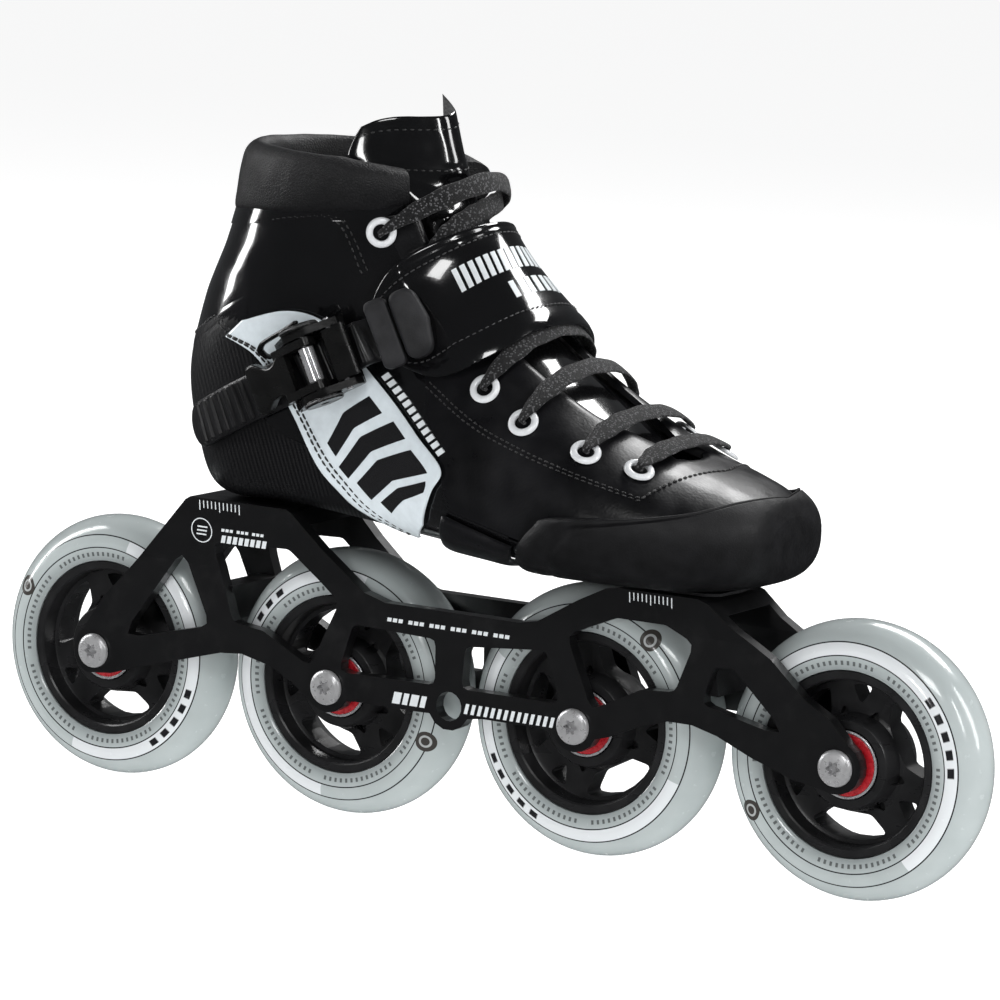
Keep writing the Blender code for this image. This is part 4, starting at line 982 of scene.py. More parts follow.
def plain_object(name, verts, faces, mat):
    """Working solid that rides on nothing yet."""
    mesh = bpy.data.meshes.new(name)
    mesh.from_pydata((np.asarray(verts, float) * MM).tolist(), [], faces)
    mesh.materials.append(mat)
    mend_normals(mesh)
    return link(name, mesh)


def drum(name, outline, low, high, mat):
    """Outline in (x, z) carried along Y."""
    n = len(outline)
    verts = [(x, low, z) for x, z in outline] + [(x, high, z) for x, z in outline]
    faces = [list(range(n)), list(reversed(range(n, 2 * n)))]
    faces += [(k, (k + 1) % n, n + (k + 1) % n, n + k) for k in range(n)]
    return plain_object(name, verts, faces, mat)


def rounded(corners, radius, steps=6):
    """Polygon with its corners turned into arcs."""
    out = []
    n = len(corners)
    for k in range(n):
        here = Vector(corners[k])
        back = (Vector(corners[k - 1]) - here).normalized()
        ahead = (Vector(corners[(k + 1) % n]) - here).normalized()
        half = back.angle(ahead) / 2
        reach = radius / math.tan(half)
        room = min((Vector(corners[k - 1]) - here).length,
                   (Vector(corners[(k + 1) % n]) - here).length) * 0.48
        reach = min(reach, room)
        for s in range(steps + 1):
            t = s / steps
            p = (here + back * reach) * (1 - t) ** 2 + here * 2 * t * (1 - t)
            p += (here + ahead * reach) * t ** 2
            out.append((p.x, p.y))
    return out


def spoke_polar(radius, degrees):
    """Place in the plane of the wheel."""
    a = math.radians(degrees)
    return (radius * math.cos(a), radius * math.sin(a))


def turned_points(profile, segments, start=0.0):
    """Points of a (radius, y) profile turned about the Y axis."""
    verts = []
    for k in range(segments):
        a = 2 * math.pi * (k + start) / segments
        for radius, y in profile:
            verts.append((radius * math.cos(a), y, radius * math.sin(a)))
    return verts


def hub_body():
    """Hub mesh about the origin: rim, web with six forked spokes, bearing seats."""
    profile = [(29.7, -10.4), (29.7, 10.4), (27.4, 10.4), (26.9, 9.9), (26.3, 4.6), (25.2, 4.2),
               (17.0, 4.2), (16.0, 4.8), (14.3, 10.2), (13.9, 10.6), (11.35, 10.6),
               (11.35, 3.6), (9.0, 3.6), (9.0, -3.6), (11.35, -3.6), (11.35, -10.6),
               (13.9, -10.6), (14.3, -10.2), (16.0, -4.8), (17.0, -4.2), (25.2, -4.2),
               (26.3, -4.6), (26.9, -9.9), (27.4, -10.4)]
    segments = 72
    through = 14.0
    verts = turned_points(profile, segments, 0.5)
    hub = plain_object("hub_work", verts, grid_faces(segments, len(profile), True, True), HUB)
    cutters = []
    for k in range(3):
        middle = 120 * k
        wide = [spoke_polar(25.0, middle + d) for d in (-33, -22, -11, 0, 11, 22, 33)]
        wide += [spoke_polar(17.6, middle + 25), spoke_polar(15.9, middle),
                 spoke_polar(17.6, middle - 25)]
        cutters.append(drum("wide", rounded(wide, 3.2, 3), -through, through, HUB))
        gap = [spoke_polar(25.0, middle + 60 + d) for d in (-8.5, 0, 8.5)]
        gap += [spoke_polar(18.2, middle + 60)]
        cutters.append(drum("gap", rounded(gap, 1.2, 3), -through, through, HUB))
        for lean in (-1, 1):
            tri = [spoke_polar(18.6, middle + 60 + lean * 19.5),
                   spoke_polar(15.3, middle + 60 + lean * 28.0),
                   spoke_polar(15.0, middle + 60 + lean * 10.5)]
            for low, high in ((2.2, through), (-through, -2.2)):
                cutters.append(drum("pocket", rounded(tri, 0.9, 3), low, high, HUB))
    cut_with(hub, cutters)
    mesh = hub.data
    shade_smooth(mesh, 35)
    bpy.data.objects.remove(hub, do_unlink=True)
    return mesh


def make_axle(node, x):
    """Axle bolt with a star socket in its outer head, built over the CAD's plain one."""
    head = 17.85
    profile = [(0.02, -head - 2.0), (4.3, -head - 2.0), (5.0, -head - 1.75),
               (5.6, -head - 1.3), (5.9, -head - 0.8), (5.9, -head), (3.9, -head),
               (3.9, head), (5.9, head), (5.9, head + 0.8), (5.6, head + 1.3),
               (5.0, head + 1.75), (4.3, head + 2.0), (0.02, head + 2.0)]
    segments = 48
    verts = turned_points(profile, segments)
    faces = grid_faces(segments, len(profile), True)
    faces.append([k * len(profile) for k in range(segments)])
    faces.append([k * len(profile) + len(profile) - 1 for k in range(segments)])
    bolt = plain_object(node + "_work", verts, faces, STEEL)
    star = []
    for k in range(36):
        a = 2 * math.pi * k / 36
        r = 2.15 + 0.5 * math.cos(6 * a)
        star.append((r * math.cos(a), r * math.sin(a)))
    cut_with(bolt, [drum("socket", star, -head - 4, -head + 0.2, STEEL),
                    drum("socket", star, head - 0.2, head + 4, STEEL)])
    mesh = bolt.data
    mesh.transform(Matrix.Translation(Vector((x, 0, WHEEL_RADIUS)) * MM))
    shade_smooth(mesh, 35)
    bpy.data.objects.remove(bolt, do_unlink=True)
    made = link(node + "_detail", mesh)
    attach(made, "skate")
    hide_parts(node)


# ---------------------------------------------------------------- frame

WALL_Y = 17.5
FLARE_Z = 80.0
FLARE = 0.125


def wall_y(z, side, lift):
    """Outer face of a frame wall, which leans outwards above the flare line."""
    return side * (WALL_Y + max(0.0, z - FLARE_Z) * FLARE + lift)


def wall_marks(name, shapes, mat, side):
    """Printed shapes on the wall, each a convex outline in (x, z)."""
    verts = []
    faces = []
    for shape in shapes:
        n = len(shape)
        start = len(verts)
        for lift in (-0.05, 0.06):
            verts += [(x, wall_y(z, side, lift), z) for x, z in shape]
        faces.append([start + k for k in range(n)])
        faces.append([start + n + k for k in reversed(range(n))])
        for k in range(n):
            j = (k + 1) % n
            faces.append((start + k, start + j, start + n + j, start + n + k))
    obj = new_piece(name, verts, faces, mat, sharp=None, smooth=False)
    return obj


def bar(x, z, wide, high, lean=0.0):
    """Leaning four-sided stroke in (x, z)."""
    return [(x, z), (x + wide, z), (x + wide + lean, z + high), (x + lean, z + high)]


def dashes(x, z, widths, high, gap, lean):
    """Row of leaning strokes of the given widths."""
    out = []
    for wide in widths:
        if wide > 0:
            out.append(bar(x, z, wide, high, lean))
        x += abs(wide) + gap
    return out, x


def make_frame():
    """Finishes of the frame group, and the marks printed on both walls."""
    finish_node("frame", ANODISED, bevel=0.4, smooth_angle=30)
    finish_node("rear_mount_bolt", RACE_STEEL, 0.2)
    finish_node("front_mount_bolt", RACE_STEEL, 0.2)
    finish_node("front_mount_plate", COVER, 0.2)
    for side, label in ((-1, "right"), (1, "left")):
        for place, x0, x1, z in (("rear", -99.5, -83.5, 99.4), ("front", 66.8, 82.2, 88.6)):
            ticks = []
            for k in range(11):
                x = x0 + (x1 - x0) * k / 10
                drop = 3.4 if k % 5 == 0 else 2.6
                ticks.append(bar(x, z - drop + 3.0, 0.36, drop))
            wall_marks("%s_scale_%s" % (place, label), ticks, WHITE_INK, side)
        ring = []
        for k in range(40):
            a0 = 2 * math.pi * k / 40
            a1 = 2 * math.pi * (k + 1) / 40
            ring.append([(-99.0 + r * math.cos(a), 92.0 + r * math.sin(a))
                         for a, r in ((a0, 3.9), (a1, 3.9), (a1, 4.25), (a0, 4.25))])
        small = []
        for row in range(3):
            small.append(bar(-101.2 + 0.3 * row, 90.4 + 1.3 * row, 4.0, 0.5))
        wall_marks("round_mark_%s" % label, ring + small, WHITE_INK, side)
        strokes, _ = dashes(-22.0, 43.2, [3.0, 2.0, 3.0, 2.0], 3.9, 0.9, 0.9)
        more, _ = dashes(5.9, 43.4, [1.3] * 14, 3.4, 1.2, 0.8)
        wall_marks("middle_strokes_%s" % label, strokes + more, WHITE_INK, side)
        line, _ = dashes(-25.0, 70.2, [1.6, 1.6, 1.6, -1.0] * 6, 1.3, 0.6, 0.2)
        wall_marks("fine_line_%s" % label, line, WHITE_INK, side)
        line, _ = dashes(-91.0, 92.5, [1.2, 1.2, 1.2, -0.6] * 3, 1.0, 0.5, 0.2)
        bold, _ = dashes(-91.4, 88.6, [1.6] * 8, 2.6, 0.75, 0.7)
        wall_marks("rear_strokes_%s" % label, line + bold, WHITE_INK, side)


# ---------------------------------------------------------------- boot

def collar_line(v):
    """Level seam between upper and collar: its u at a share of half a turn from the front."""
    return np.interp(np.abs(v), (0.2, 0.3, 0.4, 0.5, 0.64, 0.75, 1.0),
                     (13.35, 13.5, 13.9, 14.17, 14.44, 14.57, 14.6))


def upper_rows():
    """Lower and upper edges of one half of the upper, from the toe to behind the heel."""
    edge = 0.588
    low = [(0.3, 0.0), (0.3, 0.2), (0.3, 0.4), (0.3, edge)]
    low += [(u, edge) for u in np.linspace(1.2, 12.47, 15)]
    low += [(12.47, v) for v in np.linspace(0.65, 1.0, 6)]
    share = [0.0, 0.11, 0.155, 0.175, 0.18, 0.18, 0.185, 0.20]

    def throat(u):
        return float(np.interp((u - 3.7) / 10.3 * 7, range(8), share))
    high = [(3.7, 0.0), (3.75, 0.03), (3.9, 0.06)]
    high += [(u, throat(u)) for u in np.linspace(4.2, 13.1, 11)]
    high += [(collar_line(v) - 0.25 + 0.15 * v, v) for v in np.linspace(0.27, 1.0, 11)]
    return np.array(low), np.array(high)


FLEX_LINE = 178.0
TOP_TURN = 0.965


def make_upper():
    """Vamp, eyestays and quarters as one skin, creased where the foot flexes."""
    low, high = upper_rows()
    low = np.concatenate([low, np.stack([low[-2::-1, 0], 2 - low[-2::-1, 1]], 1)])
    high = np.concatenate([high, np.stack([high[-2::-1, 0], 2 - high[-2::-1, 1]], 1)])
    rows, cols = 360, 56
    low = resample(low, rows + 1, smooth=False)[:-1]
    high = resample(high, rows + 1, smooth=False)[:-1]
    flat = between(low, high, cols)
    u, v = flat[..., 0], flat[..., 1]
    place = skin(u, v, 0.0)
    outer = ripple(place, 17.0, 0.22) + ripple(place, 7.0, 0.07, 9.0)
    crease = np.exp(-((place[..., 0] + place[..., 2] - FLEX_LINE) / 26.0) ** 2)
    side = np.clip((np.abs(np.where(v > 1, v - 2, v)) - 0.2) / 0.15, 0, 1)
    waves = np.sin((place[..., 0] * 0.55 - place[..., 2] * 0.9) / 4.2)
    outer = outer + 0.22 * crease * waves * side - 0.1
    edge_row = np.linspace(0, 1, cols)[None, :].repeat(rows, 0)
    outer = outer - 0.9 * np.clip((edge_row - TOP_TURN) / (1 - TOP_TURN), 0, 1) ** 2
    outer = np.minimum(outer, 0.38)
    upper = skin_sheet("upper", u, v, outer, -WALL, [PATENT, LINING, SATIN], wrap=True,
                       inner_mat=1)
    satin_vamp(upper, 2)
    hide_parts("leather_upper")


COUNTER_SEAM = [(-125.0, 150.0), (-105.0, 158.4), (-95.0, 163.0), (-88.0, 166.5),
                (-76.0, 166.5), (-60.0, 150.0), (-40.0, 122.0), (-20.0, 106.0), (0.0, 98.0)]


def lacquer_above(obj, patent_slot):
    """Give the outer faces above the heel counter's seam the lacquered leather."""
    xs, zs = zip(*COUNTER_SEAM)
    for face in obj.data.polygons:
        x, _, z = face.center / MM
        if face.material_index == 0 and z > np.interp(x, xs, zs):
            face.material_index = patent_slot


VAMP_X = 6.0
VAMP_Z = 127.0
VAMP_LEAN = 0.4


def satin_vamp(obj, satin_slot):
    """Give the outer faces ahead of the quarter's front seam the satin leather."""
    for face in obj.data.polygons:
        x, _, z = face.center / MM
        if face.material_index == 0 and x > VAMP_X + (VAMP_Z - z) * VAMP_LEAN:
            face.material_index = satin_slot


def make_shell():
    """Sole, heel counter and sides of the forefoot."""
    u = np.concatenate([np.linspace(0.3, 9.5, 100), np.linspace(9.55, 12.35, 40)])
    v = np.linspace(0.60, 1.40, 80)
    uu, vv = np.meshgrid(u, v, indexing="ij")
    outer = soft_edge(len(u), len(v), 2, 0.12)
    shell = skin_sheet("shell", uu, vv, outer, -WALL, [TWILL, LINING, PATENT], inner_mat=1)
    lacquer_above(shell, 2)
    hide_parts("boot_shell")


def make_collar():
    """Padded ring round the ankle, from one closed section drawn round the boot."""
    ring = np.array([(14.1, 0.2), (14.7, 1.7), (15.5, 1.6), (16.0, 0.2), (16.0, -3.5),
                     (16.0, -7.5), (15.4, -9.0), (14.4, -8.6), (13.5, -7.6), (13.2, -5.8),
                     (13.4, -WALL - 1.8), (14.1, -WALL - 1.8)])
    lift = np.array([0, 0, 0, 1.4, 4.2, 2.4, 0, 0, 0, 0, 0, 0], float)
    arounds = np.linspace(0.215, 1.785, 25)
    grid = []
    for k, v in enumerate(arounds):
        taper = min(1.0, 0.35 + 0.65 * min(k, 24 - k) / 3.0)
        reach = (LAST - collar_line(v if v <= 1.0 else 2.0 - v)) / (LAST - ring[0, 0])
        points = skin(LAST - (LAST - ring[:, 0]) * reach, np.full(12, v), ring[:, 1])
        points[:, 2] += lift * taper
        grid.append(points)
    grid = refine(np.array(grid), 220, 72, wrap_cols=True)
    outward = unit(grid - grid.mean(axis=1, keepdims=True))
    puff = ripple(grid, 14.0, 0.35) + ripple(grid, 5.0, 0.12, 4.0)
    grid = grid + outward * (puff - 0.15)[..., None]
    faces = tube_faces(*grid.shape[:2])
    collar = new_piece("collar", grid.reshape(-1, 3), faces, GRAIN, sharp=60)
    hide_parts("collar_padding")


def make_tongue():
    """Pad under the laces that stands up and curls in front of the shin."""
    rows = []
    for u in np.linspace(4.4, 12.6, 11):
        share = min(1.0, (u - 3.2) / 4.0)
        reach = 0.10 + 0.15 * share
        dive = 7.2 * min(max((u - 9.0) / 2.4, 0.0), 1.0)
        v = np.linspace(-reach, reach, 9)
        out = -WALL - 0.9 - dive * np.clip((np.abs(v) - 0.13) / 0.08, 0, 1)
        rows.append(np.stack([skin(u, v, out), skin(u, v, out - 3.6)]))
    v = np.linspace(-1, 1, 9)
    for k in range(1, 6):
        t = 0.12 + 0.88 * k / 5.0
        outer_end = -84.0 + 24.0 * t * t
        degrees = -20.0 + v * np.where(v > 0, 58.0, -20.0 - outer_end)
        angle = np.radians(degrees)
        bulge = 7.0 * np.exp(-((degrees - 5.0) / 28.0) ** 2)
        x = -46.5 - 9.0 * t + (30.0 + bulge) * np.cos(angle)
        y = 23.0 * np.sin(angle)
        z = 209.0 + 27.0 * t + 6.0 * t * np.maximum(0, v) ** 2 - 4.0 * t * np.maximum(0, -v) ** 3
        thick = 4.0 if k < 3 else 4.0 - 1.1 * (k - 2)
        point = np.stack([x, y, z], 1)
        normal = np.stack([np.cos(angle), np.sin(angle), np.zeros(9)], 1)
        rows.append(np.stack([point, point - normal * thick]))
    rows = np.array(rows)
    outer = refine(rows[:, 0], 150, 60)
    inner = refine(rows[:, 1], 150, 60)
    depth = inner - outer
    swell = ripple(outer, 16.0, 0.09) + ripple(outer, 6.0, 0.03, 3.0)
    outer = outer + depth * (np.maximum(swell, -0.1) + 0.06)[..., None]
    edge = soft_edge(150, 60, 4, 0.45)
    outer = outer - depth * edge[..., None]
    inner = inner + depth * edge[..., None] * 0.8
    tongue = sheet_solid("tongue_pad", outer, inner, [PATENT, LINING], inner_mat=1, sharp=50)
    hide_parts("tongue")
    ups = unit(np.cross(np.gradient(outer, axis=0), np.gradient(outer, axis=1)))
    ups *= np.sign(np.sum(ups * -depth, axis=-1, keepdims=True))
    for label, row in (("low", 112), ("high", 140)):
        path = outer[row, 5:55]
        places, ways = even_path(path, 2.4)
        nearest = np.linalg.norm(path[None] - places[:, None], axis=2).argmin(1)
        piece = stitch_bars("tongue_stitch_" + label, places, ways, ups[row, 5:55][nearest],
                            BLACK_THREAD, 1.6, 0.24)


def make_footbed():
    """Thin insole that follows the inside of the sole."""
    stops = [(-94, 111), (-82, 111), (-62, 111), (-40, 111), (-18, 110), (10, 105.5),
             (34, 103.6), (58, 103.2), (78, 103.2), (92, 103.6)]
    drops = (0.0, 3.0)
    sides = {}
    for side in (-1, 1):
        for drop in drops:
            x = np.array([s[0] for s in stops], float)
            z = np.array([s[1] for s in stops], float) - drop
            u, v = side_place(x, z, -WALL - 1.2)
            y = skin(u, side * v, -WALL - 1.2)[:, 1]
            sides[side, drop] = np.stack([x, y, z], 1)
    top, low = (refine(between(sides[-1, drop], sides[1, drop], 24), 90, 24, smooth=False)
                for drop in drops)
    top[..., 2] += soft_edge(90, 24, 2, 0.6)
    bed = sheet_solid("insole", top, low, INSOLE)
    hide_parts("footbed")


def make_bumper():
    """Rubber cup over the toe with a rolled rim and a groove running round below it."""
    edge = [(0.0, 1.15), (0.1, 1.42), (0.2, 1.85), (0.307, 2.5), (0.38, 3.3), (0.449, 4.3),
            (0.5, 4.95), (0.56, 5.15), (0.61, 5.2), (0.66, 5.24), (0.71, 5.3), (0.76, 5.35),
            (0.82, 5.4), (0.9, 5.4)]
    loop = edge + [(1.0, 5.4)] + [(2 - v, u) for v, u in reversed(edge[1:])] + [(2.0, 1.15)]
    loop = resample(np.array(loop), 221)[:-1]
    shares = np.concatenate([np.linspace(0, 0.8, 24), np.linspace(0.815, 1.0, 18)])
    v = loop[:, 0][None, :].repeat(len(shares), 0)
    u = 0.25 + (loop[:, 1][None, :] - 0.25) * shares[:, None]
    outer = np.full(u.shape, WALL)
    outer -= 1.3 * np.clip((shares - 0.955) / 0.045, 0, 1)[:, None] ** 2.0
    groove = np.exp(-((shares - 0.905) / 0.012) ** 2)[:, None]
    outer -= 0.45 * groove
    outer = outer + ripple(skin(u, v, outer), 20.0, 0.1)
    outer = np.minimum(outer, WALL)
    a = skin(u, v, outer)
    b = skin(u, v, 1.15)
    rows, cols = u.shape
    half = rows * cols
    faces = grid_faces(rows, cols, wrap_cols=True)
    faces += [tuple(half + i for i in reversed(f)) for f in faces]
    rim = (rows - 1) * cols
    for j in range(cols):
        k = (j + 1) % cols
        faces.append((rim + j, rim + k, half + rim + k, half + rim + j))
    faces.append(list(range(cols)))
    faces.append([half + j for j in reversed(range(cols))])
    verts = np.concatenate([a.reshape(-1, 3), b.reshape(-1, 3)])
    cup = new_piece("toe_cup", verts, faces, BUMPER, sharp=50)
    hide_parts("toe_bumper")


def make_rail(label, side):
    """Short block on the side of the sole, behind the toe cup."""
    front = resample([(5.32, 0.62), (5.48, 0.8), (5.55, 0.9)], 30, smooth=False)
    back = resample([(6.5, 0.60), (6.55, 0.75), (6.6, 0.9)], 30, smooth=False)
    flat = between(front, back, 24)
    outer = 2.8 + soft_edge(30, 24, 4, 1.2)
    rail = skin_sheet("rail_" + label, flat[..., 0], side * flat[..., 1], outer, 0.8, SATIN)
    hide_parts("side_rail_" + label)


PANEL_REAR = [(-80.5, 161.0), (-68.4, 156.2), (-59.0, 146.0), (-52.1, 136.1), (-46.9, 127.3),
              (-42.1, 120.4), (-36.1, 114.9), (-29.0, 109.2), (-17.0, 104.5), (-7.0, 102.5)]
PANEL_FORE = [(-73.0, 167.0), (-57.2, 171.5), (-45.4, 170.6), (-36.0, 164.5), (-25.6, 154.9),
              (-14.3, 145.5), (-3.0, 136.2), (8.0, 127.0), (4.6, 119.5), (-0.5, 108.0)]


def panel_place(t, s):
    """Side view place on the panel: t runs down it, s from its rear edge to its front."""
    return on_sheet(PANEL_REAR, PANEL_FORE, t, s)


def make_panel(label, side):
    """White side panel with its two stitch rows and four printed chevrons."""
    rear = resample(PANEL_REAR, 110)
    fore = resample(PANEL_FORE, 110)
    flat = between(rear, fore, 40)
    u, v = side_place(flat[..., 0], flat[..., 1])
    outer = 1.9 + soft_edge(110, 40, 2, 0.4)
    panel = skin_sheet("panel_" + label, u, side * v, outer, 1.2, WHITE_PATENT)
    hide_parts("side_panel_" + label)
    for k, inset in enumerate((0.075, 0.125)):
        line = panel_place(np.linspace(0.02, 0.94, 60), np.full(60, inset))
        lu, lv = side_place(line[:, 0], line[:, 1])
        row = stitches("panel_stitch_%s_%d" % (label, k + 1), lu, side * lv, 1.95,
                       BLACK_THREAD, 2.6, 2.5, 0.38)
    for k, (t0, t1, s0, s1) in enumerate(((0.47, 0.53, 0.24, 0.86), (0.565, 0.625, 0.2, 0.9),
                                          (0.66, 0.74, 0.24, 0.88), (0.77, 0.83, 0.3, 0.84))):
        rows = np.linspace(t0, t1, 8)
        cols = np.linspace(s0, s1, 26)
        tt, ss = np.meshgrid(rows, cols, indexing="ij")
        tt = tt + 0.03 * np.abs(ss - 0.55) / 0.35
        flat = panel_place(tt, ss)
        pu, pv = side_place(flat[..., 0], flat[..., 1])
        mark = skin_sheet("panel_chevron_%s_%d" % (label, k + 1), pu, side * pv, 1.97, 1.88,
                          BLACK_INK)


def make_print_row(label, side):
    """Row of plain slanted strokes printed on the quarter just ahead of the side panel."""
    start = np.array((-22.5, 152.6))
    along = unit(np.array((33.6, -28.0)))
    up = np.array((-along[1], along[0]))
    shapes = [(1.0 + 3.0 * k, 2.9 + 3.0 * k, 1.5, 4.3) for k in range(12)]
    sheets = []
    for a0, a1, b0, b1 in shapes:
        a, b = np.meshgrid(np.linspace(a0, a1, 4), np.linspace(b0, b1, 5), indexing="ij")
        a = a + 0.25 * (b - 1.5)
        flat = start + along * a[..., None] + up * b[..., None]
        u, v = side_place(flat[..., 0], flat[..., 1])
        sheets.append((u, side * v, 0.62, 0.1))
    marks = printed_marks("quarter_strokes_" + label, sheets, WHITE_INK)


STRAP_LOW = [(8.55, -0.385), (7.75, -0.36), (7.15, -0.29), (6.8, -0.2), (6.65, -0.08),
             (6.6, 0.04), (6.65, 0.16), (6.8, 0.28), (7.05, 0.39), (7.4, 0.5), (7.8, 0.58)]
STRAP_HIGH = [(9.95, -0.36), (10.6, -0.32), (10.95, -0.26), (10.9, -0.18), (10.7, -0.08),
              (10.6, 0.04), (10.6, 0.15), (10.5, 0.27), (10.3, 0.38), (10.1, 0.49),
              (9.9, 0.58)]


STRAP_THICK = 1.7


def strap_under(v):
    """Height of the underside of the strap, which clears the laces and eyelets."""
    rise = np.clip((v + 0.345) / 0.07, 0, 1) * np.clip((0.56 - v) / 0.16, 0, 1)
    rest = np.where(v > 0, 2.2, 1.0)
    return rest + (4.95 - rest) * rise


def strap_place(t, s):
    """(u, v) on the instep strap."""
    flat = on_sheet(STRAP_LOW, STRAP_HIGH, t, s)
    return flat[..., 0], flat[..., 1]


def make_strap():
    """Instep strap with a bound edge, two stitch rows and two rows of strokes."""
    t, s = np.meshgrid(np.linspace(0, 1, 140), np.linspace(0, 1, 46), indexing="ij")
    u, v = strap_place(t, s)
    under = strap_under(v)
    outer = under + STRAP_THICK + soft_edge(*u.shape, 4, 0.75)
    bound = np.exp(-((s - 0.1) / 0.018) ** 2) + np.exp(-((s - 0.92) / 0.016) ** 2)
    outer = outer - 0.3 * bound + ripple(skin(u, v, under), 18.0, 0.16)
    strap = skin_sheet("instep_band", u, v, outer, under, [PATENT, LINING], inner_mat=1)
    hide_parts("instep_strap")
    for label, place in (("low", 0.14), ("high", 0.88)):
        line_t = np.linspace(0.03, 0.97, 90)
        lu, lv = strap_place(line_t, np.full(90, place))
        dense = resample(lv, STITCH_ROWS)
        row = stitches("strap_stitch_" + label, lu, lv,
                       (strap_under(dense) + 1.62)[:, None], GREY_THREAD, 2.3, 1.5, 0.22)
    marks = []
    for k in range(13):
        marks.append((0.29 + 0.0195 * k, 0.012, 0.43, 0.64))
    for k in range(7):
        marks.append((0.39 + 0.0225 * k, 0.014, 0.21, 0.34))
    sheets = []
    for t0, wide, s0, s1 in marks:
        tt, ss = np.meshgrid(np.linspace(t0, t0 + wide, 5), np.linspace(s0, s1, 9), indexing="ij")
        tt = tt + 0.03 * (ss - s0)
        mu, mv = strap_place(tt, ss)
        top = strap_under(mv) + STRAP_THICK + 0.2
        sheets.append((mu, mv, top, top - 0.5))
    strokes = printed_marks("strap_strokes", sheets, WHITE_INK)


HEEL_SEAM = 12.41
SOLE_SEAM = 0.594
CROWN = np.array((0.0, 0.06, 0.1, 0.1, 0.1, 0.06, 0.0))


def binding(name, u, v, raised, depth, mats):
    """Narrow strip with a rounded crown, from u and v that spread over a grid together."""
    u, v, outer = np.broadcast_arrays(u, v, CROWN[None, :] + raised)
    strip = skin_sheet(name, u, v, outer, -depth, mats)
    if len(mats) > 1:
        lacquer_above(strip, 2)


def make_bindings():
    """Thin turned edges over the joints of the upper with the counter, sole and collar."""
    width = len(CROWN)
    heel_v = np.linspace(0.585, 1.415, 120)[:, None]
    heel_u = HEEL_SEAM + np.linspace(-0.11, 0.11, width)[None, :]
    binding("binding_heel", heel_u, heel_v, 0.0, 0.7, [TWILL, TWILL, PATENT])
    for label, side in (("right", -1), ("left", 1)):
        low_u = np.linspace(5.4, HEEL_SEAM, 150)[:, None]
        low_v = SOLE_SEAM + np.linspace(-0.009, 0.009, width)[None, :]
        binding("binding_" + label, low_u, side * low_v, 0.0, 0.7, [TWILL, TWILL, PATENT])
    around = np.linspace(0.23, 1.77, 160)[:, None]
    level = collar_line(np.where(around > 1.0, 2.0 - around, around))
    binding("collar_piping", level + np.linspace(-0.32, 0.16, width)[None, :], around, 0.25,
            2.5, [PATENT])


def make_seams():
    """Sewn seams of the upper, each two rows of thread stitches."""
    lines = {"quarter_top": [(-60.0, 201.5), (-51.0, 203.0), (-37.0, 203.0), (-29.0, 187.5)],
             "vamp": [(-2.0, 153.0), (22.0, 141.0), (53.0, 132.0), (79.0, 125.0)],
             "counter": [(-105.0, 158.4), (-95.0, 163.0), (-88.0, 166.5), (-80.0, 163.0)]}
    toe = np.linspace(0.92, 0.0, 12)
    for group in (("quarter_top", "vamp"), ("counter",)):
        for side, tail in ((-1, ""), (1, "_in")):
            for name in group:
                u, v = side_line(lines[name], side)
                if name == "vamp":
                    u = np.concatenate([u, u[-1] - 0.55 * (1 - toe)])
                    v = np.concatenate([v, v[-1] * toe])
                for k, shift in enumerate((0.0, 0.012)):
                    row = stitches("seam_%s%s_%d" % (name, tail, k + 1), u, v + side * shift,
                                   0.12, BLACK_THREAD, 2.3, 1.5, 0.24)


# ---------------------------------------------------------------- eyelets and laces

EYELETS = [(18.4, 153.0), (34.6, 144.0), (57.0, 136.6), (73.1, 132.0), (-25.0, 199.5)]


def make_eyelets():
    """Enamelled rings, each turned about the direction the leather faces."""
    profile = [(2.7, 0.55), (2.7, 1.15), (2.85, 1.45), (3.2, 1.68), (3.75, 1.75), (4.35, 1.6),
               (4.8, 1.25), (5.0, 0.8), (5.0, 0.55)]
    sides = 40
    for label, side in (("right", -1), ("left", 1)):
        for i, (x, z) in enumerate(EYELETS):
            u, v = side_place(np.array(x), np.array(z))
            centre = skin(u, side * v)
            out = facing(u, side * v)
            a = unit(np.array((1.0, 0, 0)) - out * out[0])
            b = np.cross(out, a)
            verts = []
            for k in range(sides):
                angle = 2 * math.pi * k / sides
                ray = a * math.cos(angle) + b * math.sin(angle)
                verts += [centre + ray * r + out * lift for r, lift in profile]
            faces = grid_faces(sides, len(profile), True, True)
            name = "eyelet_%s_%d" % (label, i + 1)
            ring = new_piece(name + "_ring", verts, faces, ENAMEL, sharp=60)
            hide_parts(name)


def flat_tube(name, path, across, up, wide, thick, mat):
    """Rounded flat braid along a path, with its length and girth as UV in braid cells."""
    verts = []
    uv = []
    around = 14
    cell = 1.1
    run = run_along(path)
    for k in range(len(path)):
        for j in range(around):
            a = 2 * math.pi * j / around
            c = math.copysign(abs(math.cos(a)) ** 0.75, math.cos(a)) * wide[k]
            s = math.copysign(abs(math.sin(a)) ** 0.9, math.sin(a)) * thick[k]
            verts.append(path[k] + across[k] * c + up[k] * s)
            uv.append((run[k] / cell, c / cell + (0.0 if s >= 0 else 0.37)))
    faces = tube_faces(len(path), around)
    return new_piece(name, verts, faces, mat, sharp=None, uv=uv)


LACE_HALF_THICK = 0.72


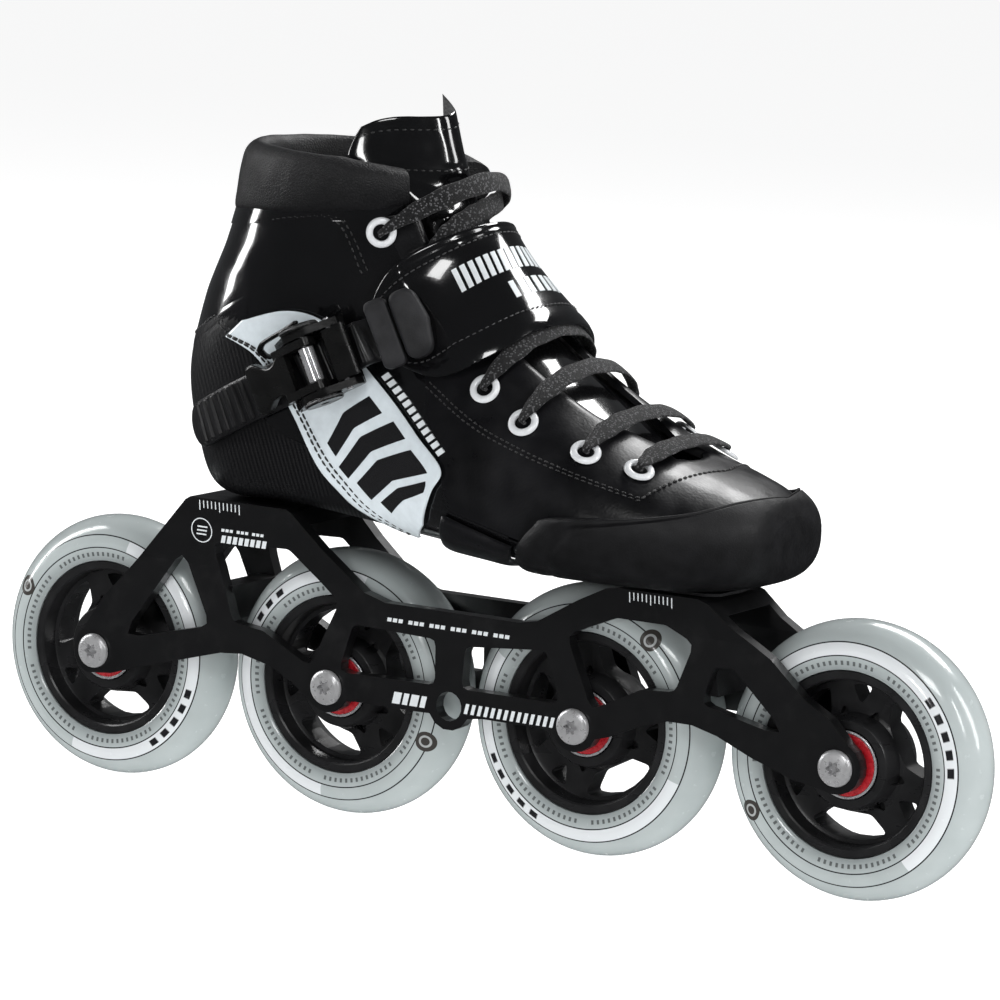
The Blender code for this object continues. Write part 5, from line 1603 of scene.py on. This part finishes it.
def lace_line(start, stop, rise, climb):
    """Middle line of one lace strand, and its half width as a vector across it."""
    ends = []
    for (x, z), side in ((start, -1), (stop, 1)):
        u, v = side_place(np.array(x), np.array(z))
        ends.append((float(u), side * float(v)))
    ts = [0.0, 0.0, 0.06, 0.18, 0.32, 0.5, 0.68, 0.82, 0.94, 1.0, 1.0]
    path = []
    across = []
    for k, t in enumerate(ts):
        u = ends[0][0] + (ends[1][0] - ends[0][0]) * t + climb * math.sin(math.pi * t)
        v = ends[0][1] + (ends[1][1] - ends[0][1]) * t
        out = 0.9 if k in (0, 10) else 2.75 + rise * math.sin(math.pi * t)
        wide = 1.3 if k in (0, 1, 9, 10) else (2.3 if k in (2, 8) else 3.4)
        path.append(skin(u, v, 0.0) + facing(u, v) * out)
        across.append(unit(skin(min(u + 0.05, LAST), v) - skin(u - 0.05, v)) * wide)
    return np.array(path), np.array(across)


def crossing_line():
    """Run of lace from the inner top eyelet down across the throat and under the strap."""
    route = [(13.3, 0.19, 3.4), (13.05, 0.155, 3.5), (12.7, 0.11, 3.4), (12.35, 0.05, 3.2),
             (12.0, -0.01, 3.1), (11.75, -0.06, 3.0), (11.45, -0.11, 2.9), (11.1, -0.15, 2.8),
             (10.7, -0.18, 2.75), (10.3, -0.195, 2.75)]
    path = np.array([skin(u, v) + facing(u, v) * out for u, v, out in route])
    ups = np.array([facing(u, v) for u, v, _ in route])
    across = unit(np.cross(ups, np.gradient(path, axis=0)))
    wide = np.full(len(route), 3.3)
    wide[[0, -1]] = 2.6
    return path, across * wide[:, None]


def make_laces():
    """Four crossings of the throat, the loop over the tongue and the run under the strap."""
    rows = 90
    lines = []
    for i, place in enumerate(EYELETS):
        lines.append(lace_line(place, place, 5.0 if i == 4 else 0.3, 1.2 if i == 4 else 0.0))
    lines.append(crossing_line())
    for i, (path, across) in enumerate(lines):
        path = resample(path, rows)
        across = resample(across, rows)
        ahead = unit(np.gradient(path, axis=0))
        across -= ahead * np.sum(across * ahead, axis=1, keepdims=True)
        wide = np.linalg.norm(across, axis=1)
        across /= wide[:, None]
        up = np.cross(ahead, across)
        up *= np.sign(np.sum(up * (path - path.mean(0) + np.array((0, 0, 20))), 1,
                             keepdims=True))
        wave = 1 + 0.05 * np.sin(np.arange(rows) * 0.7 + i)
        strand = flat_tube("lace_%d" % (i + 1), path, across, up, wide * wave,
                           np.full(rows, LACE_HALF_THICK), LACE)
        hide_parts("lace_strand_%d" % (i + 1))


# ---------------------------------------------------------------- ratchet buckle

RISE = math.radians(26.5)
BUCKLE = np.array((-40.0, -33.51972, 156.0))
ALONG = np.array((math.cos(RISE), 0.0, math.sin(RISE)))
OUT = np.array((0.0, -1.0, 0.0))
ACROSS = np.cross(OUT, ALONG)


def local(a, b, c):
    """Place in the buckle's own frame: along the strap, across it and out from the boot."""
    return BUCKLE + ALONG * a + ACROSS * b + OUT * c


RIB_PITCH = 4.55
RIB_HEIGHT = 0.8
LADDER_HALF = 7.6
LADDER_ROWS = 300


def make_ladder():
    """Toothed strap: a rounded flat band whose face carries square ribs."""
    xs = np.linspace(-19.5, -98.0, 33)
    path = []
    normal = []
    for x in xs:
        z = BUCKLE[2] + (x - BUCKLE[0]) * math.tan(RISE)
        u, v = side_place(np.array(x), np.array(z))
        lift = min(max((x + 27.0) / -4.0, 0.0), 1.0) * min(max((x + 68.0) / 12.0, 0.0), 1.0)
        out = 4.7 + 1.5 * lift - 2.2 * min(max((x + 62.0) / -20.0, 0.0), 1.0)
        up = facing(u, -v)
        centre = skin(u, -v) + up * out
        if -58.0 < x < -23.0:
            centre[1] = min(centre[1], local(0.0, 0.0, 6.7)[1])
        path.append(centre)
        normal.append(up)
    path = resample(path, LADDER_ROWS)
    normal = unit(resample(normal, LADDER_ROWS))
    side = unit(np.cross(unit(np.gradient(path, axis=0)), normal))
    run = run_along(path)
    total = run[-1]
    end = np.clip((total - run) / LADDER_HALF, 0, 1)
    half = LADDER_HALF * np.sqrt(1 - (1 - end) ** 2.4)
    half = np.maximum(half, 1.2)
    phase = (run / RIB_PITCH) % 1.0
    rib = np.clip(np.minimum((phase - 0.1) / 0.09, (0.62 - phase) / 0.09), 0, 1)
    rib *= (run > 1.5) & (run < total - 5.0)
    verts = []
    around = [(-1.0, -0.75), (-1.0, 0.0), (-0.97, 0.55), (-0.9, 0.85), (-0.82, 1.0), (0.82, 1.0),
              (0.9, 0.85), (0.97, 0.55), (1.0, 0.0), (1.0, -0.75), (0.9, -0.85), (-0.9, -0.85)]
    for k in range(LADDER_ROWS):
        for b, c in around:
            high = c * 0.85 + (RIB_HEIGHT * rib[k] if abs(b) <= 0.83 and c > 0.9 else 0.0)
            verts.append(path[k] + side[k] * half[k] * b + normal[k] * high)
    faces = tube_faces(LADDER_ROWS, len(around))
    strap = new_piece("ladder_band", verts, faces, STRAP_NYLON, sharp=30)
    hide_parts("ladder_strap")


COVER_START = 20.0
COVER_HEIGHT = 8.2
COVER_LEAN = math.radians(24)


def cover_place(a, b, lift):
    """Place on the cover, which leans in towards the boot as it goes forward."""
    lean = COVER_LEAN
    flat = local(COVER_START, b, 0.0)
    turned_along = ALONG * math.cos(lean) - OUT * math.sin(lean)
    turned_out = OUT * math.cos(lean) + ALONG * math.sin(lean)
    return flat + turned_along * (a - COVER_START) + turned_out * (COVER_HEIGHT + lift)


def make_cover():
    """Moulded cover in two parts with a groove between them."""
    parts = {"rear": [(20.5, -11.5), (28.2, -11.5), (28.2, 11.5), (20.5, 11.5)],
             "front": [(28.9, -11.5), (37.5, -11.5), (39.5, 0.0), (37.5, 11.5), (28.9, 11.5)]}
    profile = [(0.0, 0.0), (0.0, 1.6), (0.0, 3.0), (-0.25, 3.6), (-0.7, 4.05), (-1.4, 4.3),
               (-2.6, 4.4)]
    for label, corners in parts.items():
        outline = np.array(rounded(corners, 2.6 if label == "rear" else 4.5, 8))
        centre = outline.mean(0)
        verts = []
        for inset, lift in profile:
            away = outline - centre
            size = np.linalg.norm(away, axis=1, keepdims=True)
            ring = centre + away * (size + inset) / size
            verts += [cover_place(a, b, lift) for a, b in ring]
        n = len(outline)
        top = len(profile)
        faces = grid_faces(top, n, wrap_cols=True)
        faces.append(list(reversed(range(n))))
        faces.append([(top - 1) * n + j for j in range(n)])
        piece = new_piece("cover_" + label, verts, faces, COVER, sharp=60)
    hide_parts("strap_cover")


PIN_PLACE = (1.0, 13.0)


def buckle_piece(name, rings, mat, body, bevel=0.0, wrap=True):
    """Closed solid from rings of (a, b, c) points in the buckle's own frame."""
    verts = [local(*p) for ring in rings for p in ring]
    rows, cols = len(rings), len(rings[0])
    faces = grid_faces(rows, cols, True, True) if wrap else tube_faces(rows, cols)
    made = new_piece(name, verts, faces, mat, body)
    if bevel:
        add_bevel(made, bevel, 3)
    return made


def make_disc(name, low, high, radius, mat):
    """Turned disc or roller about the main pin, between two places across the strap."""
    a0, c0 = PIN_PLACE
    bore = 1.5
    chamfer = 0.35
    sides = 48
    edge = math.copysign(chamfer, high - low)
    profile = [(bore, low), (radius - chamfer, low), (radius, low + edge), (radius, high - edge),
               (radius - chamfer, high), (bore, high)]
    rings = []
    for k in range(sides):
        angle = 2 * math.pi * k / sides
        rings.append([(a0 + r * math.cos(angle), b, c0 + r * math.sin(angle))
                      for r, b in profile])
    return buckle_piece(name, rings, mat, "skate")


def make_lever():
    """Finger grip with a narrow waist, on two arms that turn about the main pin."""
    stations = [(-25.4, 6.6, 10.4, 11.5), (-25.0, 7.8, 9.4, 12.2), (-23.6, 8.5, 8.9, 12.8),
                (-21.4, 8.5, 8.9, 13.3), (-19.2, 7.2, 9.1, 13.8), (-17.0, 5.7, 9.3, 14.2),
                (-14.6, 5.0, 9.5, 14.7), (-12.4, 5.5, 9.8, 15.0), (-10.6, 6.9, 10.0, 15.1),
                (-9.0, 8.4, 10.7, 15.1), (-6.8, 8.4, 12.0, 15.0)]
    dense = resample(np.array(stations), 60)
    rings = []
    for a, half, low, high in dense:
        r = min(1.3, (high - low) * 0.42, half * 0.4)
        ring = []
        for sign_b, sign_c, start in ((1, 1, 0), (-1, 1, 90), (-1, -1, 180), (1, -1, 270)):
            for k in range(7):
                angle = math.radians(start + 15 * k)
                centre_c = high - r if sign_c > 0 else low + r
                ring.append((a, sign_b * (half - r) + r * math.cos(angle),
                             centre_c + r * math.sin(angle)))
        rings.append(ring)
    grip = buckle_piece("lever_grip", rings, NYLON, "lever", wrap=False)
    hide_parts("buckle_lever")
    outline = np.array(rounded([(-12.0, 10.2), (-5.0, 10.4), (4.4, 9.8), (4.6, 16.4),
                                (-3.0, 16.6), (-12.0, 14.6)], 1.8, 8))
    hole = np.array(PIN_PLACE) + unit(outline - np.array(PIN_PLACE)) * 1.95
    for label, b0, b1 in (("low", -8.8, -6.2), ("high", 6.2, 8.8)):
        rings = [[(a, b, c) for a, c in ring] for ring, b in
                 ((outline, b0), (outline, b1), (hole, b1), (hole, b0))]
        buckle_piece("lever_arm_" + label, rings, NYLON, "lever", 0.4)


def make_hook():
    """Sprung arm along the upper cheek, hooked over the rear of the buckle."""
    route = [(-16.5, 8.6, 6.8), (-17.6, 10.0, 8.4), (-17.4, 11.9, 10.2), (-14.8, 13.2, 11.6),
             (-10.5, 13.6, 12.4), (-5.5, 13.9, 12.8), (-1.5, 14.3, 13.0), (1.5, 14.8, 13.0)]
    path = resample(np.array(route), 60)
    rings = []
    for k, (p, way) in enumerate(zip(path, unit(np.gradient(path, axis=0)))):
        side = unit(np.cross(way, (0.0, 0.0, 1.0)))
        up = np.cross(side, way)
        size = min(1.0, 0.45 + 0.2 * min(k, 59 - k))
        rings.append([tuple(p + side * 0.75 * size * math.cos(t) + up * 1.5 * size * math.sin(t))
                      for t in np.linspace(0, 2 * math.pi, 16, endpoint=False)])
    buckle_piece("buckle_hook", rings, NYLON, "skate", wrap=False)


def make_buckle():
    """The buckle's own nodes with their finishes, and the parts built over them."""
    finish_node("buckle_base", NYLON, 0.35)
    finish_node("buckle_release", NYLON, 0.35)
    finish_node("buckle_pin", CHROME, 0.15)
    finish_node("release_pin", CHROME, 0.1)
    make_lever()
    make_hook()
    make_disc("cheek_disc_low", -11.65, -13.3, 6.6, NYLON)
    make_disc("cheek_disc_high", 11.65, 13.3, 6.6, NYLON)
    make_disc("cheek_rim_low", -12.1, -12.8, 6.85, RIM)
    make_disc("cheek_rim_high", 12.1, 12.8, 6.85, RIM)
    make_disc("pin_roller", -5.9, 5.9, 2.5, CHROME)


# ---------------------------------------------------------------- floor

FLOOR_RINGS = (0.6, 1.5, 4.0, 12.0)
FLOOR_SIDES = 64


def make_floor():
    """Flat pale stage just below the wheels, kept out of the reflections."""
    verts = []
    for radius in FLOOR_RINGS:
        turns = [2 * math.pi * k / FLOOR_SIDES for k in range(FLOOR_SIDES)]
        verts += [(radius * math.cos(a), radius * math.sin(a), 0.0) for a in turns]
    mesh = bpy.data.meshes.new("floor")
    faces = grid_faces(len(FLOOR_RINGS), FLOOR_SIDES, wrap_cols=True)
    faces.append(list(range(FLOOR_SIDES)))
    mesh.from_pydata(verts, [], faces)
    mesh.materials.append(floor_finish())
    floor = link("floor", mesh)
    floor.location.z = -0.0005
    floor.visible_glossy = False


make_camera()
make_light()
make_floor()
make_wheels()
make_frame()
make_upper()
make_shell()
make_collar()
make_tongue()
make_footbed()
make_bumper()
for tag, way in (("right", -1), ("left", 1)):
    make_rail(tag, way)
    make_panel(tag, way)
    if way < 0:
        make_print_row(tag, way)
make_strap()
make_bindings()
make_seams()
make_eyelets()
make_laces()
make_ladder()
make_cover()
make_buckle()
